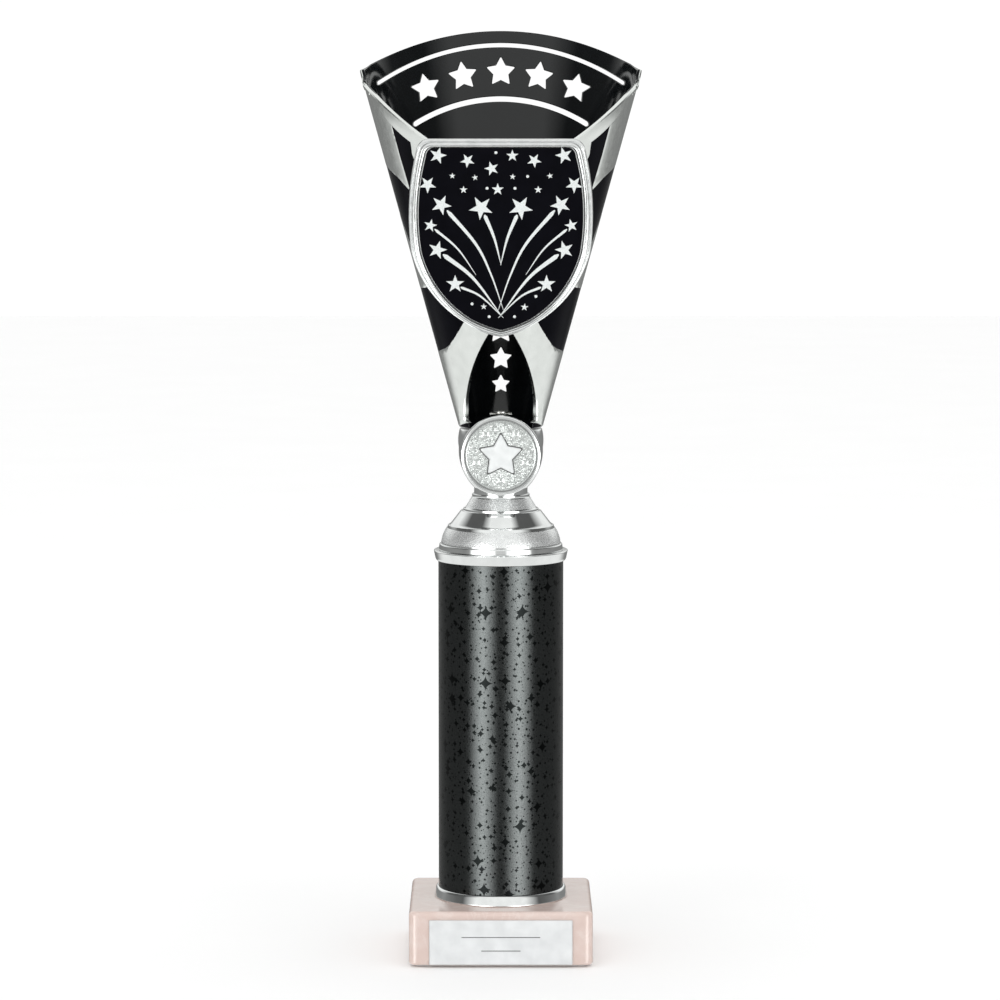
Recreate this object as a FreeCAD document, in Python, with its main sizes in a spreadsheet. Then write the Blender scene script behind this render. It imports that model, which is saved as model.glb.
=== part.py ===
"""Column trophy: a marble base, a foil-wrapped column, a turned riser, a medal holder and a
cone-shaped cup with an open front, all clamped together by one threaded tie rod.

Frame: +Z up, the origin at the middle of the underside, the front of the trophy faces -Y.
Every sub-part is drawn in its own frame, with z = 0 at its own lowest face, and is then placed.
"""
import FreeCAD
import Part
import Sketcher
import math
import os
import re

ORIGIN = (-1, 1)
X_AXIS = -1
Y_AXIS = -2

# Driving dimensions in millimetres and degrees.
SIZES = {
    # base block, the pad under it and the plate on its front
    "pad_side": 61.0, "pad_height": 0.8, "pad_round": 2.0,
    "base_side": 65.5, "base_height": 19.3, "base_corner": 2.8, "base_round": 1.6,
    "base_foot_round": 1.0,
    "rod_clearance": 2.75, "sink_radius": 7.5, "sink_depth": 9.0,
    "plate_length": 51.0, "plate_height": 16.0, "plate_thick": 0.6, "plate_lift": 0.4,
    "tape_thick": 0.2, "tape_margin": 1.5,
    # column and its two collars
    "column_radius": 22.5, "column_length": 122.3, "wrap_thick": 0.3, "core_thick": 2.2,
    "collar_radius": 24.1, "collar_edge": 0.5, "lip_radius": 23.0, "collar_height": 3.7,
    "collar_floor": 1.9, "spigot_height": 6.0, "spigot_thick": 1.6, "fit_gap": 0.05,
    # riser, bottom to top
    "riser_height": 22.4, "riser_wall": 1.8, "flange_radius": 22.3, "flange_height": 2.3,
    "groove_depth": 1.0, "groove_height": 0.3, "band_radius": 21.5, "band_top_radius": 19.6,
    "band_top": 7.9, "band_curve": 12.0, "step_radius": 19.2, "step_top": 9.1,
    "cone_radius": 18.3, "cone_top_radius": 14.4, "cone_top": 14.2,
    "ring_radius": 13.5, "ring_top": 15.1, "upper_band_radius": 12.9, "upper_band_top": 19.1,
    "upper_band_top_radius": 10.5, "neck_ring_radius": 10.3, "neck_ring_top": 20.3,
    "neck_radius": 9.6, "riser_cap": 3.0,
    # medal holder: a bulb turned about Z with a drum facing the front
    "holder_height": 22.1, "bulb_radius": 15.1, "bulb_level": 15.2, "bulb_curve": 19.0,
    "bulb_top_radius": 14.7, "bulb_top_curve": 15.0, "drum_radius": 14.4, "drum_level": 13.7,
    "drum_front": 18.4, "drum_back": 10.0, "drum_round": 0.8, "disc_radius": 12.5,
    "recess_radius": 13.1, "recess_depth": 1.4, "disc_tape_thick": 0.2,
    "disc_thick": 0.9, "disc_star_radius": 8.6, "disc_star_height": 0.5,
    # cup: a conical wall whose front is open between two raised leaves
    "foot_radius": 15.0, "cup_slope": 0.2767, "cup_wall": 1.6,
    "cup_floor": 1.8, "cup_blank_height": 143.0, "rim_apex": 141.5, "rim_curve": 95.0,
    "rim_reach": 60.0, "drum_gap": 0.3, "leaf_height": 0.6,
    "upper_slot_apex": 136.3, "upper_slot_end_x": 44.0, "upper_slot_end_z": 122.6,
    "upper_slot_width": 1.5, "lower_slot_apex": 116.6, "lower_slot_end_x": 31.0,
    "lower_slot_end_z": 107.7, "lower_slot_width": 1.9, "back_star_radius": 5.6,
    # shield on the front of the cup
    "shield_height": 70.1, "shield_tilt": 9.6, "shield_depth": 26.6,
    "shield_level": 34.3, "shield_back": 1.0, "shield_rim": 2.6, "shield_step": 0.9,
    "shield_step_ratio": 0.965,
    "insert_thick": 0.6, "insert_ratio": 0.995, "insert_tape_thick": 0.2,
    "insert_tape_ratio": 0.95, "peg_radius": 1.6, "peg_length": 6.5,
    # tie rod and its fasteners
    "rod_radius": 2.5, "rod_bottom": 2.2, "rod_top": 196.0,
    "nut_width": 8.0, "nut_height": 4.0, "thin_nut_height": 2.5,
    "washer_radius": 6.0, "washer_thick": 1.0, "spring_radius": 4.4, "spring_thick": 1.2,
    "spring_split": 0.8, "top_washer_radius": 5.0, "top_washer_thick": 0.5,
}

# Heights of the joints between the sub-parts, as expressions of the driving dimensions.
BASE_TOP = "(pad_height + base_height)"
COLUMN_FOOT = "(pad_height + base_height + collar_floor)"
RISER_FOOT = "(pad_height + base_height + 2 * collar_floor + column_length)"
HOLDER_FOOT = "(pad_height + base_height + 2 * collar_floor + column_length + riser_height)"
CUP_FOOT = HOLDER_FOOT[:-1] + " + holder_height)"
SINK_CEILING = "(pad_height + sink_depth)"

doc = FreeCAD.newDocument("ColumnTrophy")
sheet = doc.addObject("Spreadsheet::Sheet", "Sizes")
for row, (alias, size) in enumerate(SIZES.items(), start=1):
    sheet.set("A%d" % row, alias)
    sheet.set("B%d" % row, str(size))
    sheet.setAlias("B%d" % row, alias)
doc.recompute()

SUBPARTS = []


def bound(expression):
    """The expression with every alias written as a cell of the sheet."""
    def cell(word):
        return "Sizes." + word.group(0) if word.group(0) in SIZES else word.group(0)
    return re.sub(r"[a-z_]+", cell, str(expression))


def value(expression):
    """The number that an expression of the sheet gives now."""
    return float(sheet.evalExpression(bound(expression)))


def bind(thing, prop, expression):
    """Ties one property or constraint of an object to the sheet."""
    thing.setExpression(prop, bound(expression))


def new_body(label, level="0"):
    """An empty body whose own zero stands at the given height."""
    body = doc.addObject("PartDesign::Body", label)
    body.Label = label
    bind(body, "Placement.Base.z", level)
    SUBPARTS.append(body)
    return body


def new_sketch(body, name, role="XZ_Plane", offset=None):
    """A sketch on one of the body's origin planes; offset moves it along the plane's normal."""
    sketch = body.newObject("Sketcher::SketchObject", name)
    plane = [item for item in body.Origin.OriginFeatures if item.Role == role]
    sketch.AttachmentSupport = [(plane[0], "")]
    sketch.MapMode = "FlatFace"
    if offset is not None:
        bind(sketch, "AttachmentOffset.Base.z", offset)
    return sketch


def pin(sketch, edge, end, x, y):
    """Fixes one end of an edge at (x, y), both given as expressions."""
    for kind, axis, size in (("DistanceX", Y_AXIS, x), ("DistanceY", X_AXIS, y)):
        if abs(value(size)) < 1e-9:
            sketch.addConstraint(Sketcher.Constraint("PointOnObject", edge, end, axis))
        else:
            index = sketch.addConstraint(
                Sketcher.Constraint(kind, ORIGIN[0], ORIGIN[1], edge, end, value(size)))
            bind(sketch, "Constraints[%d]" % index, size)


def arc_between(start, end, radius, turn):
    """The short arc from start to end; turn is +1 to bend left and -1 to bend right."""
    chord = end - start
    reach = math.sqrt(max(radius ** 2 - (chord.Length / 2) ** 2, 0))
    left = FreeCAD.Vector(-chord.y, chord.x, 0).normalize()
    centre = (start + end) / 2 + left * reach * turn
    first, last = (start, end) if turn > 0 else (end, start)
    circle = Part.Circle(centre, FreeCAD.Vector(0, 0, 1), radius)
    return Part.ArcOfCircle(circle, circle.parameter(first), circle.parameter(last))


def outline(sketch, corners):
    """Draws a closed outline. A corner is (x, y) when a straight edge leads to it, or
    (x, y, radius, turn) when an arc does; every size is an expression of the sheet."""
    points = [FreeCAD.Vector(value(c[0]), value(c[1]), 0) for c in corners]
    ends = []
    for index, corner in enumerate(corners):
        start, end = points[index - 1], points[index]
        if len(corner) == 2:
            edge = sketch.addGeometry(Part.LineSegment(start, end), False)
            ends.append((edge, 1, 2))
        else:
            arc = arc_between(start, end, value(corner[2]), corner[3])
            edge = sketch.addGeometry(arc, False)
            ends.append((edge, 1, 2) if corner[3] > 0 else (edge, 2, 1))
            radius = sketch.addConstraint(Sketcher.Constraint("Radius", edge, value(corner[2])))
            bind(sketch, "Constraints[%d]" % radius, corner[2])
    for index, corner in enumerate(corners):
        edge, _, last = ends[index]
        following, first, _ = ends[(index + 1) % len(ends)]
        sketch.addConstraint(Sketcher.Constraint("Coincident", edge, last, following, first))
        pin(sketch, edge, last, corner[0], corner[1])


def circle(sketch, radius, x="0", y="0"):
    """A circle whose centre and radius follow the sheet."""
    centre = FreeCAD.Vector(value(x), value(y), 0)
    edge = sketch.addGeometry(Part.Circle(centre, FreeCAD.Vector(0, 0, 1), value(radius)), False)
    pin(sketch, edge, 3, x, y)
    index = sketch.addConstraint(Sketcher.Constraint("Radius", edge, value(radius)))
    bind(sketch, "Constraints[%d]" % index, radius)


def rectangle(sketch, left, bottom, right, top):
    """A rectangle between two corners."""
    outline(sketch, [(left, bottom), (right, bottom), (right, top), (left, top)])


def revolve(body, name, corners):
    """Turns a half profile, given as (radius, height) corners, about the body's Z axis."""
    sketch = new_sketch(body, name + "_profile")
    outline(sketch, corners)
    turned = body.newObject("PartDesign::Revolution", name)
    turned.Profile = sketch
    turned.ReferenceAxis = (sketch, ["V_Axis"])
    turned.Angle = 360
    doc.recompute()
    return turned


def pad(body, name, sketch, length, backward=False):
    """Raises a sketch by a length along its normal, or against it."""
    raised = body.newObject("PartDesign::Pad", name)
    raised.Profile = sketch
    bind(raised, "Length", length)
    raised.Reversed = backward
    doc.recompute()
    return raised


def pocket(body, name, sketch, length=None, forward=False, both=False):
    """Cuts a sketch into the body: to a length, or right through when no length is given.
    The cut runs against the sketch's normal, forward along it, or both ways."""
    before = body.Shape.Volume
    cut = body.newObject("PartDesign::Pocket", name)
    cut.Profile = sketch
    cut.Reversed = forward
    if length is None:
        cut.Type = "ThroughAll"
        cut.Midplane = both
    else:
        bind(cut, "Length", length)
    doc.recompute()
    if body.Shape.Volume > before - 0.01:
        raise RuntimeError("%s cuts nothing" % name)
    return cut


def fillet(body, name, feature, edges, radius):
    """Rounds the chosen edges of the body's last feature."""
    rounded = body.newObject("PartDesign::Fillet", name)
    rounded.Base = (feature, edges)
    bind(rounded, "Radius", radius)
    doc.recompute()
    return rounded


def edges_where(feature, test):
    """Names of the feature's edges whose middle point passes the test."""
    chosen = []
    for index, edge in enumerate(feature.Shape.Edges, start=1):
        middle = edge.valueAt((edge.FirstParameter + edge.LastParameter) / 2)
        if test(middle, edge):
            chosen.append("Edge%d" % index)
    return chosen


def star(sketch, tip_radius, inner_ratio, x="0", y="0", tilt=0.0):
    """A regular five-pointed star; tilt turns it anticlockwise, in degrees."""
    points = []
    for step in range(10):
        radius = value(tip_radius) * (inner_ratio if step % 2 else 1.0)
        angle = math.radians(90 + tilt + 36 * step)
        points.append(FreeCAD.Vector(value(x) + radius * math.cos(angle),
                                     value(y) + radius * math.sin(angle), 0))
    first = sketch.GeometryCount
    for step in range(10):
        sketch.addGeometry(Part.LineSegment(points[step], points[(step + 1) % 10]), False)
    for step in range(10):
        sketch.addConstraint(Sketcher.Constraint(
            "Coincident", first + step, 2, first + (step + 1) % 10, 1))
    for step in range(10):
        sketch.addConstraint(Sketcher.Constraint("Block", first + step))


def make_base_pad():
    """Thin foam pad glued under the marble."""
    body = new_body("base_pad")
    sketch = new_sketch(body, "pad_square", "XY_Plane")
    rectangle(sketch, "-pad_side / 2", "-pad_side / 2", "pad_side / 2", "pad_side / 2")
    sheet_pad = pad(body, "pad_sheet", sketch, "pad_height")
    corners = edges_where(
        sheet_pad, lambda middle, edge: abs(edge.tangentAt(edge.FirstParameter).z) > 0.9)
    fillet(body, "pad_corners", sheet_pad, corners, "pad_round")


def make_marble_base():
    """Square marble block, bored for the tie rod and counterbored from below for its nut."""
    body = new_body("marble_base", "pad_height")
    sketch = new_sketch(body, "block_square", "XY_Plane")
    rectangle(sketch, "-base_side / 2", "-base_side / 2", "base_side / 2", "base_side / 2")
    block = pad(body, "block", sketch, "base_height")
    upright = edges_where(
        block, lambda middle, edge: abs(edge.tangentAt(edge.FirstParameter).z) > 0.9)
    corners = fillet(body, "block_corners", block, upright, "base_corner")
    height = value("base_height")
    top = edges_where(corners, lambda middle, edge: middle.z > height - 0.01)
    softened = fillet(body, "block_top_edge", corners, top, "base_round")
    foot = edges_where(softened, lambda middle, edge: middle.z < 0.01)
    fillet(body, "block_foot_edge", softened, foot, "base_foot_round")
    bore = new_sketch(body, "rod_bore_circle", "XY_Plane")
    circle(bore, "rod_clearance")
    pocket(body, "rod_bore", bore, forward=True)
    sink = new_sketch(body, "nut_sink_circle", "XY_Plane")
    circle(sink, "sink_radius")
    pocket(body, "nut_sink", sink, "sink_depth", forward=True)


def make_front_plate():
    """Engraving plate and the adhesive sheet that holds it on the front of the base."""
    layers = (("plate_adhesive", "tape_margin", "base_side / 2", "tape_thick"),
              ("engraving_plate", "0", "base_side / 2 + tape_thick", "plate_thick"))
    for label, margin, start, thick in layers:
        body = new_body(label, "pad_height + plate_lift")
        sketch = new_sketch(body, label + "_face", offset=start)
        rectangle(sketch, "-plate_length / 2 + " + margin, margin,
                  "plate_length / 2 - " + margin, "plate_height - " + margin)
        pad(body, label + "_sheet", sketch, thick)


def make_collar(label, level, inverted=False):
    """Moulded end collar: a sloping outer ring that holds the tube, a floor and an inner spigot.
    The same moulding is used at both ends of the column, inverted at the top."""
    body = new_body(label, level)
    bore, tube, edge = "rod_clearance", "column_radius + fit_gap", "collar_edge"
    inner = "column_radius - wrap_thick - core_thick - fit_gap"
    revolve(body, label + "_ring", [
        (bore, "0"), ("collar_radius - collar_edge", "0"),
        ("collar_radius", edge, edge, 1),
        ("lip_radius + fit_gap", "collar_height - 0.1"), ("lip_radius", "collar_height"),
        (tube, "collar_height"), (tube, "collar_floor"),
        (inner, "collar_floor"), (inner, "spigot_height"),
        (inner + " - spigot_thick", "spigot_height"),
        (inner + " - spigot_thick", "collar_floor"), (bore, "collar_floor")])
    if inverted:
        body.Placement = FreeCAD.Placement(
            FreeCAD.Vector(0, 0, value(level)), FreeCAD.Rotation(FreeCAD.Vector(1, 0, 0), 180))


def make_tube(label, outer, thick):
    """One round layer of the column between the two collar floors."""
    body = new_body(label, COLUMN_FOOT)
    revolve(body, label + "_layer", [
        (outer + " - " + thick, "0"), (outer, "0"),
        (outer, "column_length"), (outer + " - " + thick, "column_length")])


def make_riser():
    """Hollow turned riser: flange, lower band, step, plain cone, ring, upper band, neck."""
    body = new_body("riser", RISER_FOOT)
    band_foot = "(flange_height + groove_height)"
    cap = "(riser_height - riser_cap)"
    revolve(body, "riser_shell", [
        ("flange_radius - riser_wall", "0"), ("flange_radius - 0.4", "0"),
        ("flange_radius", "0.4", "0.4", 1), ("flange_radius", "flange_height - 0.4"),
        ("flange_radius - 0.4", "flange_height", "0.4", 1),
        ("flange_radius - groove_depth", "flange_height"),
        ("flange_radius - groove_depth", band_foot), ("band_radius", band_foot),
        ("band_top_radius", "band_top", "band_curve", 1),
        ("step_radius", "band_top"), ("step_radius - 0.2", "step_top"),
        ("cone_radius", "step_top"), ("cone_top_radius", "cone_top"),
        ("ring_radius", "cone_top"), ("ring_radius", "ring_top"),
        ("upper_band_radius", "ring_top"), ("upper_band_top_radius", "upper_band_top"),
        ("neck_ring_radius", "upper_band_top"), ("neck_ring_radius", "neck_ring_top"),
        ("neck_radius", "neck_ring_top"), ("neck_radius", "riser_height"),
        ("rod_clearance", "riser_height"), ("rod_clearance", cap),
        ("neck_ring_radius - riser_wall", cap),
        ("ring_radius - riser_wall", "ring_top"),
        ("cone_top_radius - riser_wall", "cone_top"),
        ("step_radius - 0.2 - riser_wall - 0.9", "step_top"),
        ("band_top_radius - riser_wall - 0.4", "band_top"),
        ("flange_radius - riser_wall", "flange_height", "band_curve", -1)])


def make_medal_holder():
    """Bulb on the riser with a drum that faces the front and takes the centre disc."""
    body = new_body("medal_holder", HOLDER_FOOT)
    revolve(body, "bulb", [
        ("rod_clearance", "0"), ("neck_radius", "0"), ("neck_radius", "0.8"),
        ("bulb_radius", "bulb_level", "bulb_curve", 1),
        ("bulb_top_radius", "holder_height", "bulb_top_curve", 1),
        ("rod_clearance", "holder_height")])
    drum = new_sketch(body, "drum_circle", offset="drum_back")
    circle(drum, "drum_radius", y="drum_level")
    drum_block = pad(body, "drum", drum, "drum_front - drum_back")
    front = -value("drum_front")
    rim = edges_where(drum_block, lambda middle, edge: abs(middle.y - front) < 0.01)
    fillet(body, "drum_edge", drum_block, rim, "drum_round")
    recess = new_sketch(body, "disc_recess_circle", offset="drum_front")
    circle(recess, "recess_radius", y="drum_level")
    pocket(body, "disc_recess", recess, "recess_depth")


def make_centre_disc():
    """Disc with a raised star, on its adhesive ring, in the recess of the drum."""
    recess_floor = "drum_front - recess_depth"
    tape = new_body("disc_adhesive", HOLDER_FOOT)
    face = new_sketch(tape, "disc_adhesive_circle", offset=recess_floor)
    circle(face, "disc_radius - tape_margin", y="drum_level")
    pad(tape, "disc_adhesive_sheet", face, "disc_tape_thick")
    body = new_body("centre_disc", HOLDER_FOOT)
    face = new_sketch(body, "disc_circle", offset=recess_floor + " + disc_tape_thick")
    circle(face, "disc_radius", y="drum_level")
    pad(body, "disc", face, "disc_thick")
    raised = new_sketch(body, "disc_star_outline",
                        offset=recess_floor + " + disc_tape_thick + disc_thick")
    star(raised, "disc_star_radius", 0.5, y="drum_level")
    pad(body, "disc_star", raised, "disc_star_height")


# Stars pierced in the back wall: distance from the middle, height above the foot, turn.
BACK_STARS = [(0.0, 126.5, 0.0), (13.9, 125.0, -8.0), (27.3, 120.7, -14.0)]
# The stars of the lower window: height above the foot and tip radius.
TRAIL_STARS = [(33.3, 5.3), (22.9, 4.3), (13.8, 3.55)]
STAR_RATIO = 0.52
# The inner edge of the right leaf, from above the rim down to the foot.
LEAF_INNER = [("58.5", "134.5"), ("26.6", "103.4", "120", -1), ("23.0", "98.5", "9", 1),
              ("4.0", "38.5"), ("4.6", "34.5", "6", 1), ("12.75", "7.6", "54", -1),
              ("12.75", "3.4"), ("11.4", "cup_floor", "1.7", -1)]
# The outer edge of the right leaf, from the foot back up past the rim.
LEAF_OUTER = [("14.2", "0.8"), ("14.4", "10.1"), ("18.25", "28.9", "130", -1),
              ("12.7", "39.5"), ("20.5", "72.0"), ("30.9", "97.8"), ("31.4", "101.9"),
              ("45.2", "117.4", "47", 1), ("60.0", "132.8")]
# The shield's outline in its own plane, right half from the middle of the top to the tip.
SHIELD_OUTER = [("0", "shield_height"), ("24.6", "shield_height"),
                ("29.3", "shield_height - 3.3", "4.6", -1), ("31.3", "30.3", "100", -1),
                ("12.0", "4.7", "41", -1), ("0", "0", "26", -1)]
SHIELD_INNER = [("0", "67.5"), ("23.8", "67.5"), ("26.3", "64.4", "3.2", -1),
                ("28.0", "30.2", "84", -1), ("10.4", "5.9", "40", -1), ("0", "1.9", "45", -1)]
PEGS = [("17.5", "37.5"), ("24.5", "61.0")]


def mirrored_back(chain):
    """The mirror image of a chain of corners, followed from its end back to its start."""
    back = [("-(%s)" % chain[-1][0],) + chain[-1][1:2]]
    for index in range(len(chain) - 1, 0, -1):
        across, height = chain[index - 1][:2]
        back.append(("-(%s)" % across, height) + chain[index][2:])
    return back


def symmetric(chain):
    """A closed outline from its right half, whose first and last corners lie on x = 0."""
    return chain + mirrored_back(chain)[1:-1]


def arc_slot(sketch, name):
    """A curved slot of one width, symmetric about x = 0, with round ends."""
    apex, width = value(name + "_apex"), value(name + "_width")
    end_x, sag = value(name + "_end_x"), value(name + "_apex") - value(name + "_end_z")
    radius = (end_x ** 2 + sag ** 2) / (2 * sag)
    centre = FreeCAD.Vector(0, apex - radius, 0)
    spread = math.asin(end_x / radius)
    upward = FreeCAD.Vector(0, 0, 1)
    first = sketch.GeometryCount
    for reach in (radius + width / 2, radius - width / 2):
        long_edge = Part.Circle(centre, upward, reach)
        sketch.addGeometry(Part.ArcOfCircle(
            long_edge, math.pi / 2 - spread, math.pi / 2 + spread), False)
    for side, start in ((-1, math.pi / 2 + spread), (1, -math.pi / 2 - spread)):
        tip = centre + FreeCAD.Vector(side * math.sin(spread), math.cos(spread), 0) * radius
        sketch.addGeometry(Part.ArcOfCircle(
            Part.Circle(tip, upward, width / 2), start, start + math.pi), False)
    outer, inner, left, right = range(first, first + 4)
    for edge, end, other, other_end in ((outer, 2, left, 1), (left, 2, inner, 2),
                                        (inner, 1, right, 1), (right, 2, outer, 1)):
        sketch.addConstraint(Sketcher.Constraint("Coincident", edge, end, other, other_end))
    for edge in (outer, inner, left, right):
        sketch.addConstraint(Sketcher.Constraint("Block", edge))


def cup_radius(height):
    """Outer radius of the cup's cone at a height above the foot, as an expression."""
    return "(foot_radius + cup_slope * (%s))" % height


def trim_rim(body):
    """Cuts the body along the arched rim, which reads as one arc from the front."""
    above = new_sketch(body, body.Name + "_rim")
    end = "rim_apex - rim_curve + sqrt(rim_curve ^ 2 - rim_reach ^ 2)"
    outline(above, [("rim_reach", end), ("-rim_reach", end, "rim_curve", 1),
                    ("-rim_reach", "rim_apex + 10"), ("rim_reach", "rim_apex + 10")])
    pocket(body, body.Name + "_rim_cut", above, both=True)


def make_cup_wall():
    """Conical wall and floor, with the front opening, the drum's notch and the piercings."""
    body = doc.addObject("PartDesign::Body", "cup_wall")
    top, floor_radius = "cup_blank_height", cup_radius("cup_floor") + " - cup_wall"
    revolve(body, "cup_cone", [
        ("rod_clearance", "0"), (cup_radius("0"), "0"), (cup_radius(top), top),
        (cup_radius(top) + " - cup_wall", top), (floor_radius, "cup_floor"),
        ("rod_clearance", "cup_floor")])
    trim_rim(body)
    front = new_sketch(body, "front_opening_outline")
    outline(front, LEAF_INNER + mirrored_back(LEAF_INNER) + [("0", "rim_apex + 10")])
    pocket(body, "front_opening", front, forward=True)
    notch = new_sketch(body, "drum_notch_circle", offset="drum_back - drum_gap")
    circle(notch, "drum_radius + drum_gap", y="drum_level - holder_height")
    pocket(body, "drum_notch", notch, forward=True)
    stars = new_sketch(body, "back_stars_outline")
    for across, height, tilt in BACK_STARS:
        for side in ((1, -1) if across else (1,)):
            star(stars, "back_star_radius", STAR_RATIO, side * across, height, side * tilt)
    for height, radius in TRAIL_STARS:
        star(stars, radius, STAR_RATIO, 0, height)
    pocket(body, "back_stars", stars)
    slots = new_sketch(body, "back_slots_outline")
    arc_slot(slots, "upper_slot")
    arc_slot(slots, "lower_slot")
    pocket(body, "back_slots", slots)
    return body


def make_leaves():
    """The raised border of the opening: a thin conical layer kept only inside the leaves."""
    layer = doc.addObject("PartDesign::Body", "leaf_layer")
    top, inside = "cup_blank_height", " - cup_wall / 2"
    revolve(layer, "leaf_cone", [
        (cup_radius("0") + inside, "0"), (cup_radius("0") + " + leaf_height", "0"),
        (cup_radius(top) + " + leaf_height", top), (cup_radius(top) + inside, top)])
    trim_rim(layer)
    prism = doc.addObject("PartDesign::Body", "leaf_prism")
    leaves = new_sketch(prism, "leaf_outlines")
    leaf = LEAF_INNER + LEAF_OUTER
    outline(leaves, leaf)
    outline(leaves, mirrored_back(leaf + leaf[:1])[:-1])
    pad(prism, "leaf_columns", leaves, "rim_reach + leaf_height")
    return common("leaves", [layer, prism])


def common(name, shapes):
    """What the given objects share."""
    shared = doc.addObject("Part::MultiCommon", name)
    shared.Shapes = shapes
    doc.recompute()
    return shared


def on_shield(body, level="0"):
    """Places a body in the shield's tilted plane; level moves it forward from the back face."""
    tilt = FreeCAD.Rotation(FreeCAD.Vector(1, 0, 0), value("shield_tilt"))
    body.Placement = FreeCAD.Placement(FreeCAD.Vector(0, 0, 0), tilt)
    slope = "shield_tilt * 1 deg"
    bind(body, "Placement.Base.y", "-shield_depth - (%s) * cos(%s)" % (level, slope))
    bind(body, "Placement.Base.z",
         CUP_FOOT + " + shield_level - (%s) * sin(%s)" % (level, slope))


def add_pegs(body, name, radius):
    """Round pegs that run backward from the shield's back face."""
    sketch = new_sketch(body, name + "_circles")
    for across, height in PEGS:
        for side in ("", "-"):
            circle(sketch, radius, side + across, height)
    pad(body, name, sketch, "peg_length", backward=True)


def make_cup():
    """Cup moulding: the wall with its raised leaves, drilled for the shield's pegs."""
    moulding = doc.addObject("Part::MultiFuse", "cup_moulding")
    moulding.Shapes = [make_cup_wall(), make_leaves()]
    bind(moulding, "Placement.Base.z", CUP_FOOT)
    doc.recompute()
    holes = doc.addObject("PartDesign::Body", "peg_holes")
    on_shield(holes)
    add_pegs(holes, "peg_hole", "peg_radius")
    cup = doc.addObject("Part::Cut", "cup_hood")
    cup.Base = moulding
    cup.Tool = holes
    cup.Label = "cup_hood"
    cup.Refine = True
    doc.recompute()
    SUBPARTS.append(cup)


def make_shield():
    """Shield: a rimmed tray with four pegs, an adhesive sheet and the printed insert."""
    frame = new_body("shield_frame")
    on_shield(frame)
    plate = new_sketch(frame, "shield_outline")
    outline(plate, symmetric(SHIELD_OUTER))
    pad(frame, "shield_plate", plate, "shield_back + shield_rim - shield_step")
    step = new_sketch(frame, "shield_step_outline", offset="shield_back + shield_rim - shield_step")
    outline(step, shrunk(symmetric(SHIELD_OUTER), "shield_step_ratio"))
    pad(frame, "shield_step_ring", step, "shield_step")
    well = new_sketch(frame, "shield_well_outline", offset="shield_back + shield_rim")
    outline(well, symmetric(SHIELD_INNER))
    pocket(frame, "shield_well", well, "shield_rim")
    add_pegs(frame, "shield_pegs", "peg_radius")
    for label, level, thick, ratio in (
            ("insert_adhesive", "shield_back", "insert_tape_thick", "insert_tape_ratio"),
            ("shield_insert", "shield_back + insert_tape_thick", "insert_thick", "insert_ratio")):
        body = new_body(label)
        on_shield(body, level)
        face = new_sketch(body, label + "_outline")
        outline(face, shrunk(symmetric(SHIELD_INNER), ratio))
        pad(body, label + "_sheet", face, thick)


def shrunk(corners, ratio):
    """The outline scaled about the middle of the shield by a ratio."""
    middle = "shield_height / 2"
    return [("%s * (%s)" % (ratio, corner[0]),
             "%s + %s * (%s - %s)" % (middle, ratio, corner[1], middle))
            + (("%s * %s" % (ratio, corner[2]), corner[3]) if len(corner) > 2 else ())
            for corner in corners]


def make_rod_and_fasteners():
    """The tie rod through everything, its nuts and its washers."""
    rod = new_body("tie_rod", "rod_bottom")
    section = new_sketch(rod, "rod_circle", "XY_Plane")
    circle(section, "rod_radius")
    pad(rod, "rod", section, "rod_top - rod_bottom")
    ring("bottom_washer", SINK_CEILING + " - washer_thick", "washer_radius", "washer_thick")
    spring = ring("spring_washer", SINK_CEILING + " - washer_thick - spring_thick",
                  "spring_radius", "spring_thick")
    split = new_sketch(spring, "spring_split_slot", "XY_Plane")
    rectangle(split, "0", "-spring_split / 2", "2 * spring_radius", "spring_split / 2")
    pocket(spring, "spring_split", split, forward=True)
    nut("bottom_nut", SINK_CEILING + " - washer_thick - spring_thick - nut_height", "nut_height")
    ring("top_washer", CUP_FOOT + " + cup_floor", "top_washer_radius", "top_washer_thick")
    nut("top_nut", CUP_FOOT + " + cup_floor + top_washer_thick", "thin_nut_height")


def ring(label, level, radius, thick):
    """A flat washer."""
    body = new_body(label, level)
    face = new_sketch(body, label + "_circles", "XY_Plane")
    circle(face, radius)
    circle(face, "rod_clearance")
    pad(body, label + "_ring", face, thick)
    return body


def nut(label, level, height):
    """A hexagon nut."""
    body = new_body(label, level)
    face = new_sketch(body, label + "_hexagon", "XY_Plane")
    corner = "nut_width / sqrt(3)"
    outline(face, [("%s * cos(%d deg)" % (corner, 60 * step + 30),
                    "%s * sin(%d deg)" % (corner, 60 * step + 30)) for step in range(6)])
    circle(face, "rod_radius")
    pad(body, label + "_block", face, height)


def check_document():
    """Stops if any object of the document failed, or a sub-part isn't one valid shape."""
    doc.recompute()
    for item in doc.Objects:
        if "Invalid" in item.State or "Error" in item.State:
            raise RuntimeError("%s failed: %s" % (item.Name, item.State))
    for item in SUBPARTS:
        if item.Shape.isNull() or not item.Shape.isValid():
            raise RuntimeError("%s has no valid shape" % item.Label)


def export_subparts():
    """Writes each sub-part's shape to a STEP file named after it."""
    os.makedirs("parts", exist_ok=True)
    for item in SUBPARTS:
        item.Shape.exportStep("parts/%s.step" % item.Label)
        box = item.Shape.BoundBox
        print("%-18s solids %d volume %9.1f  z %7.2f to %7.2f" % (
            item.Label, len(item.Shape.Solids), item.Shape.Volume, box.ZMin, box.ZMax))


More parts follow.
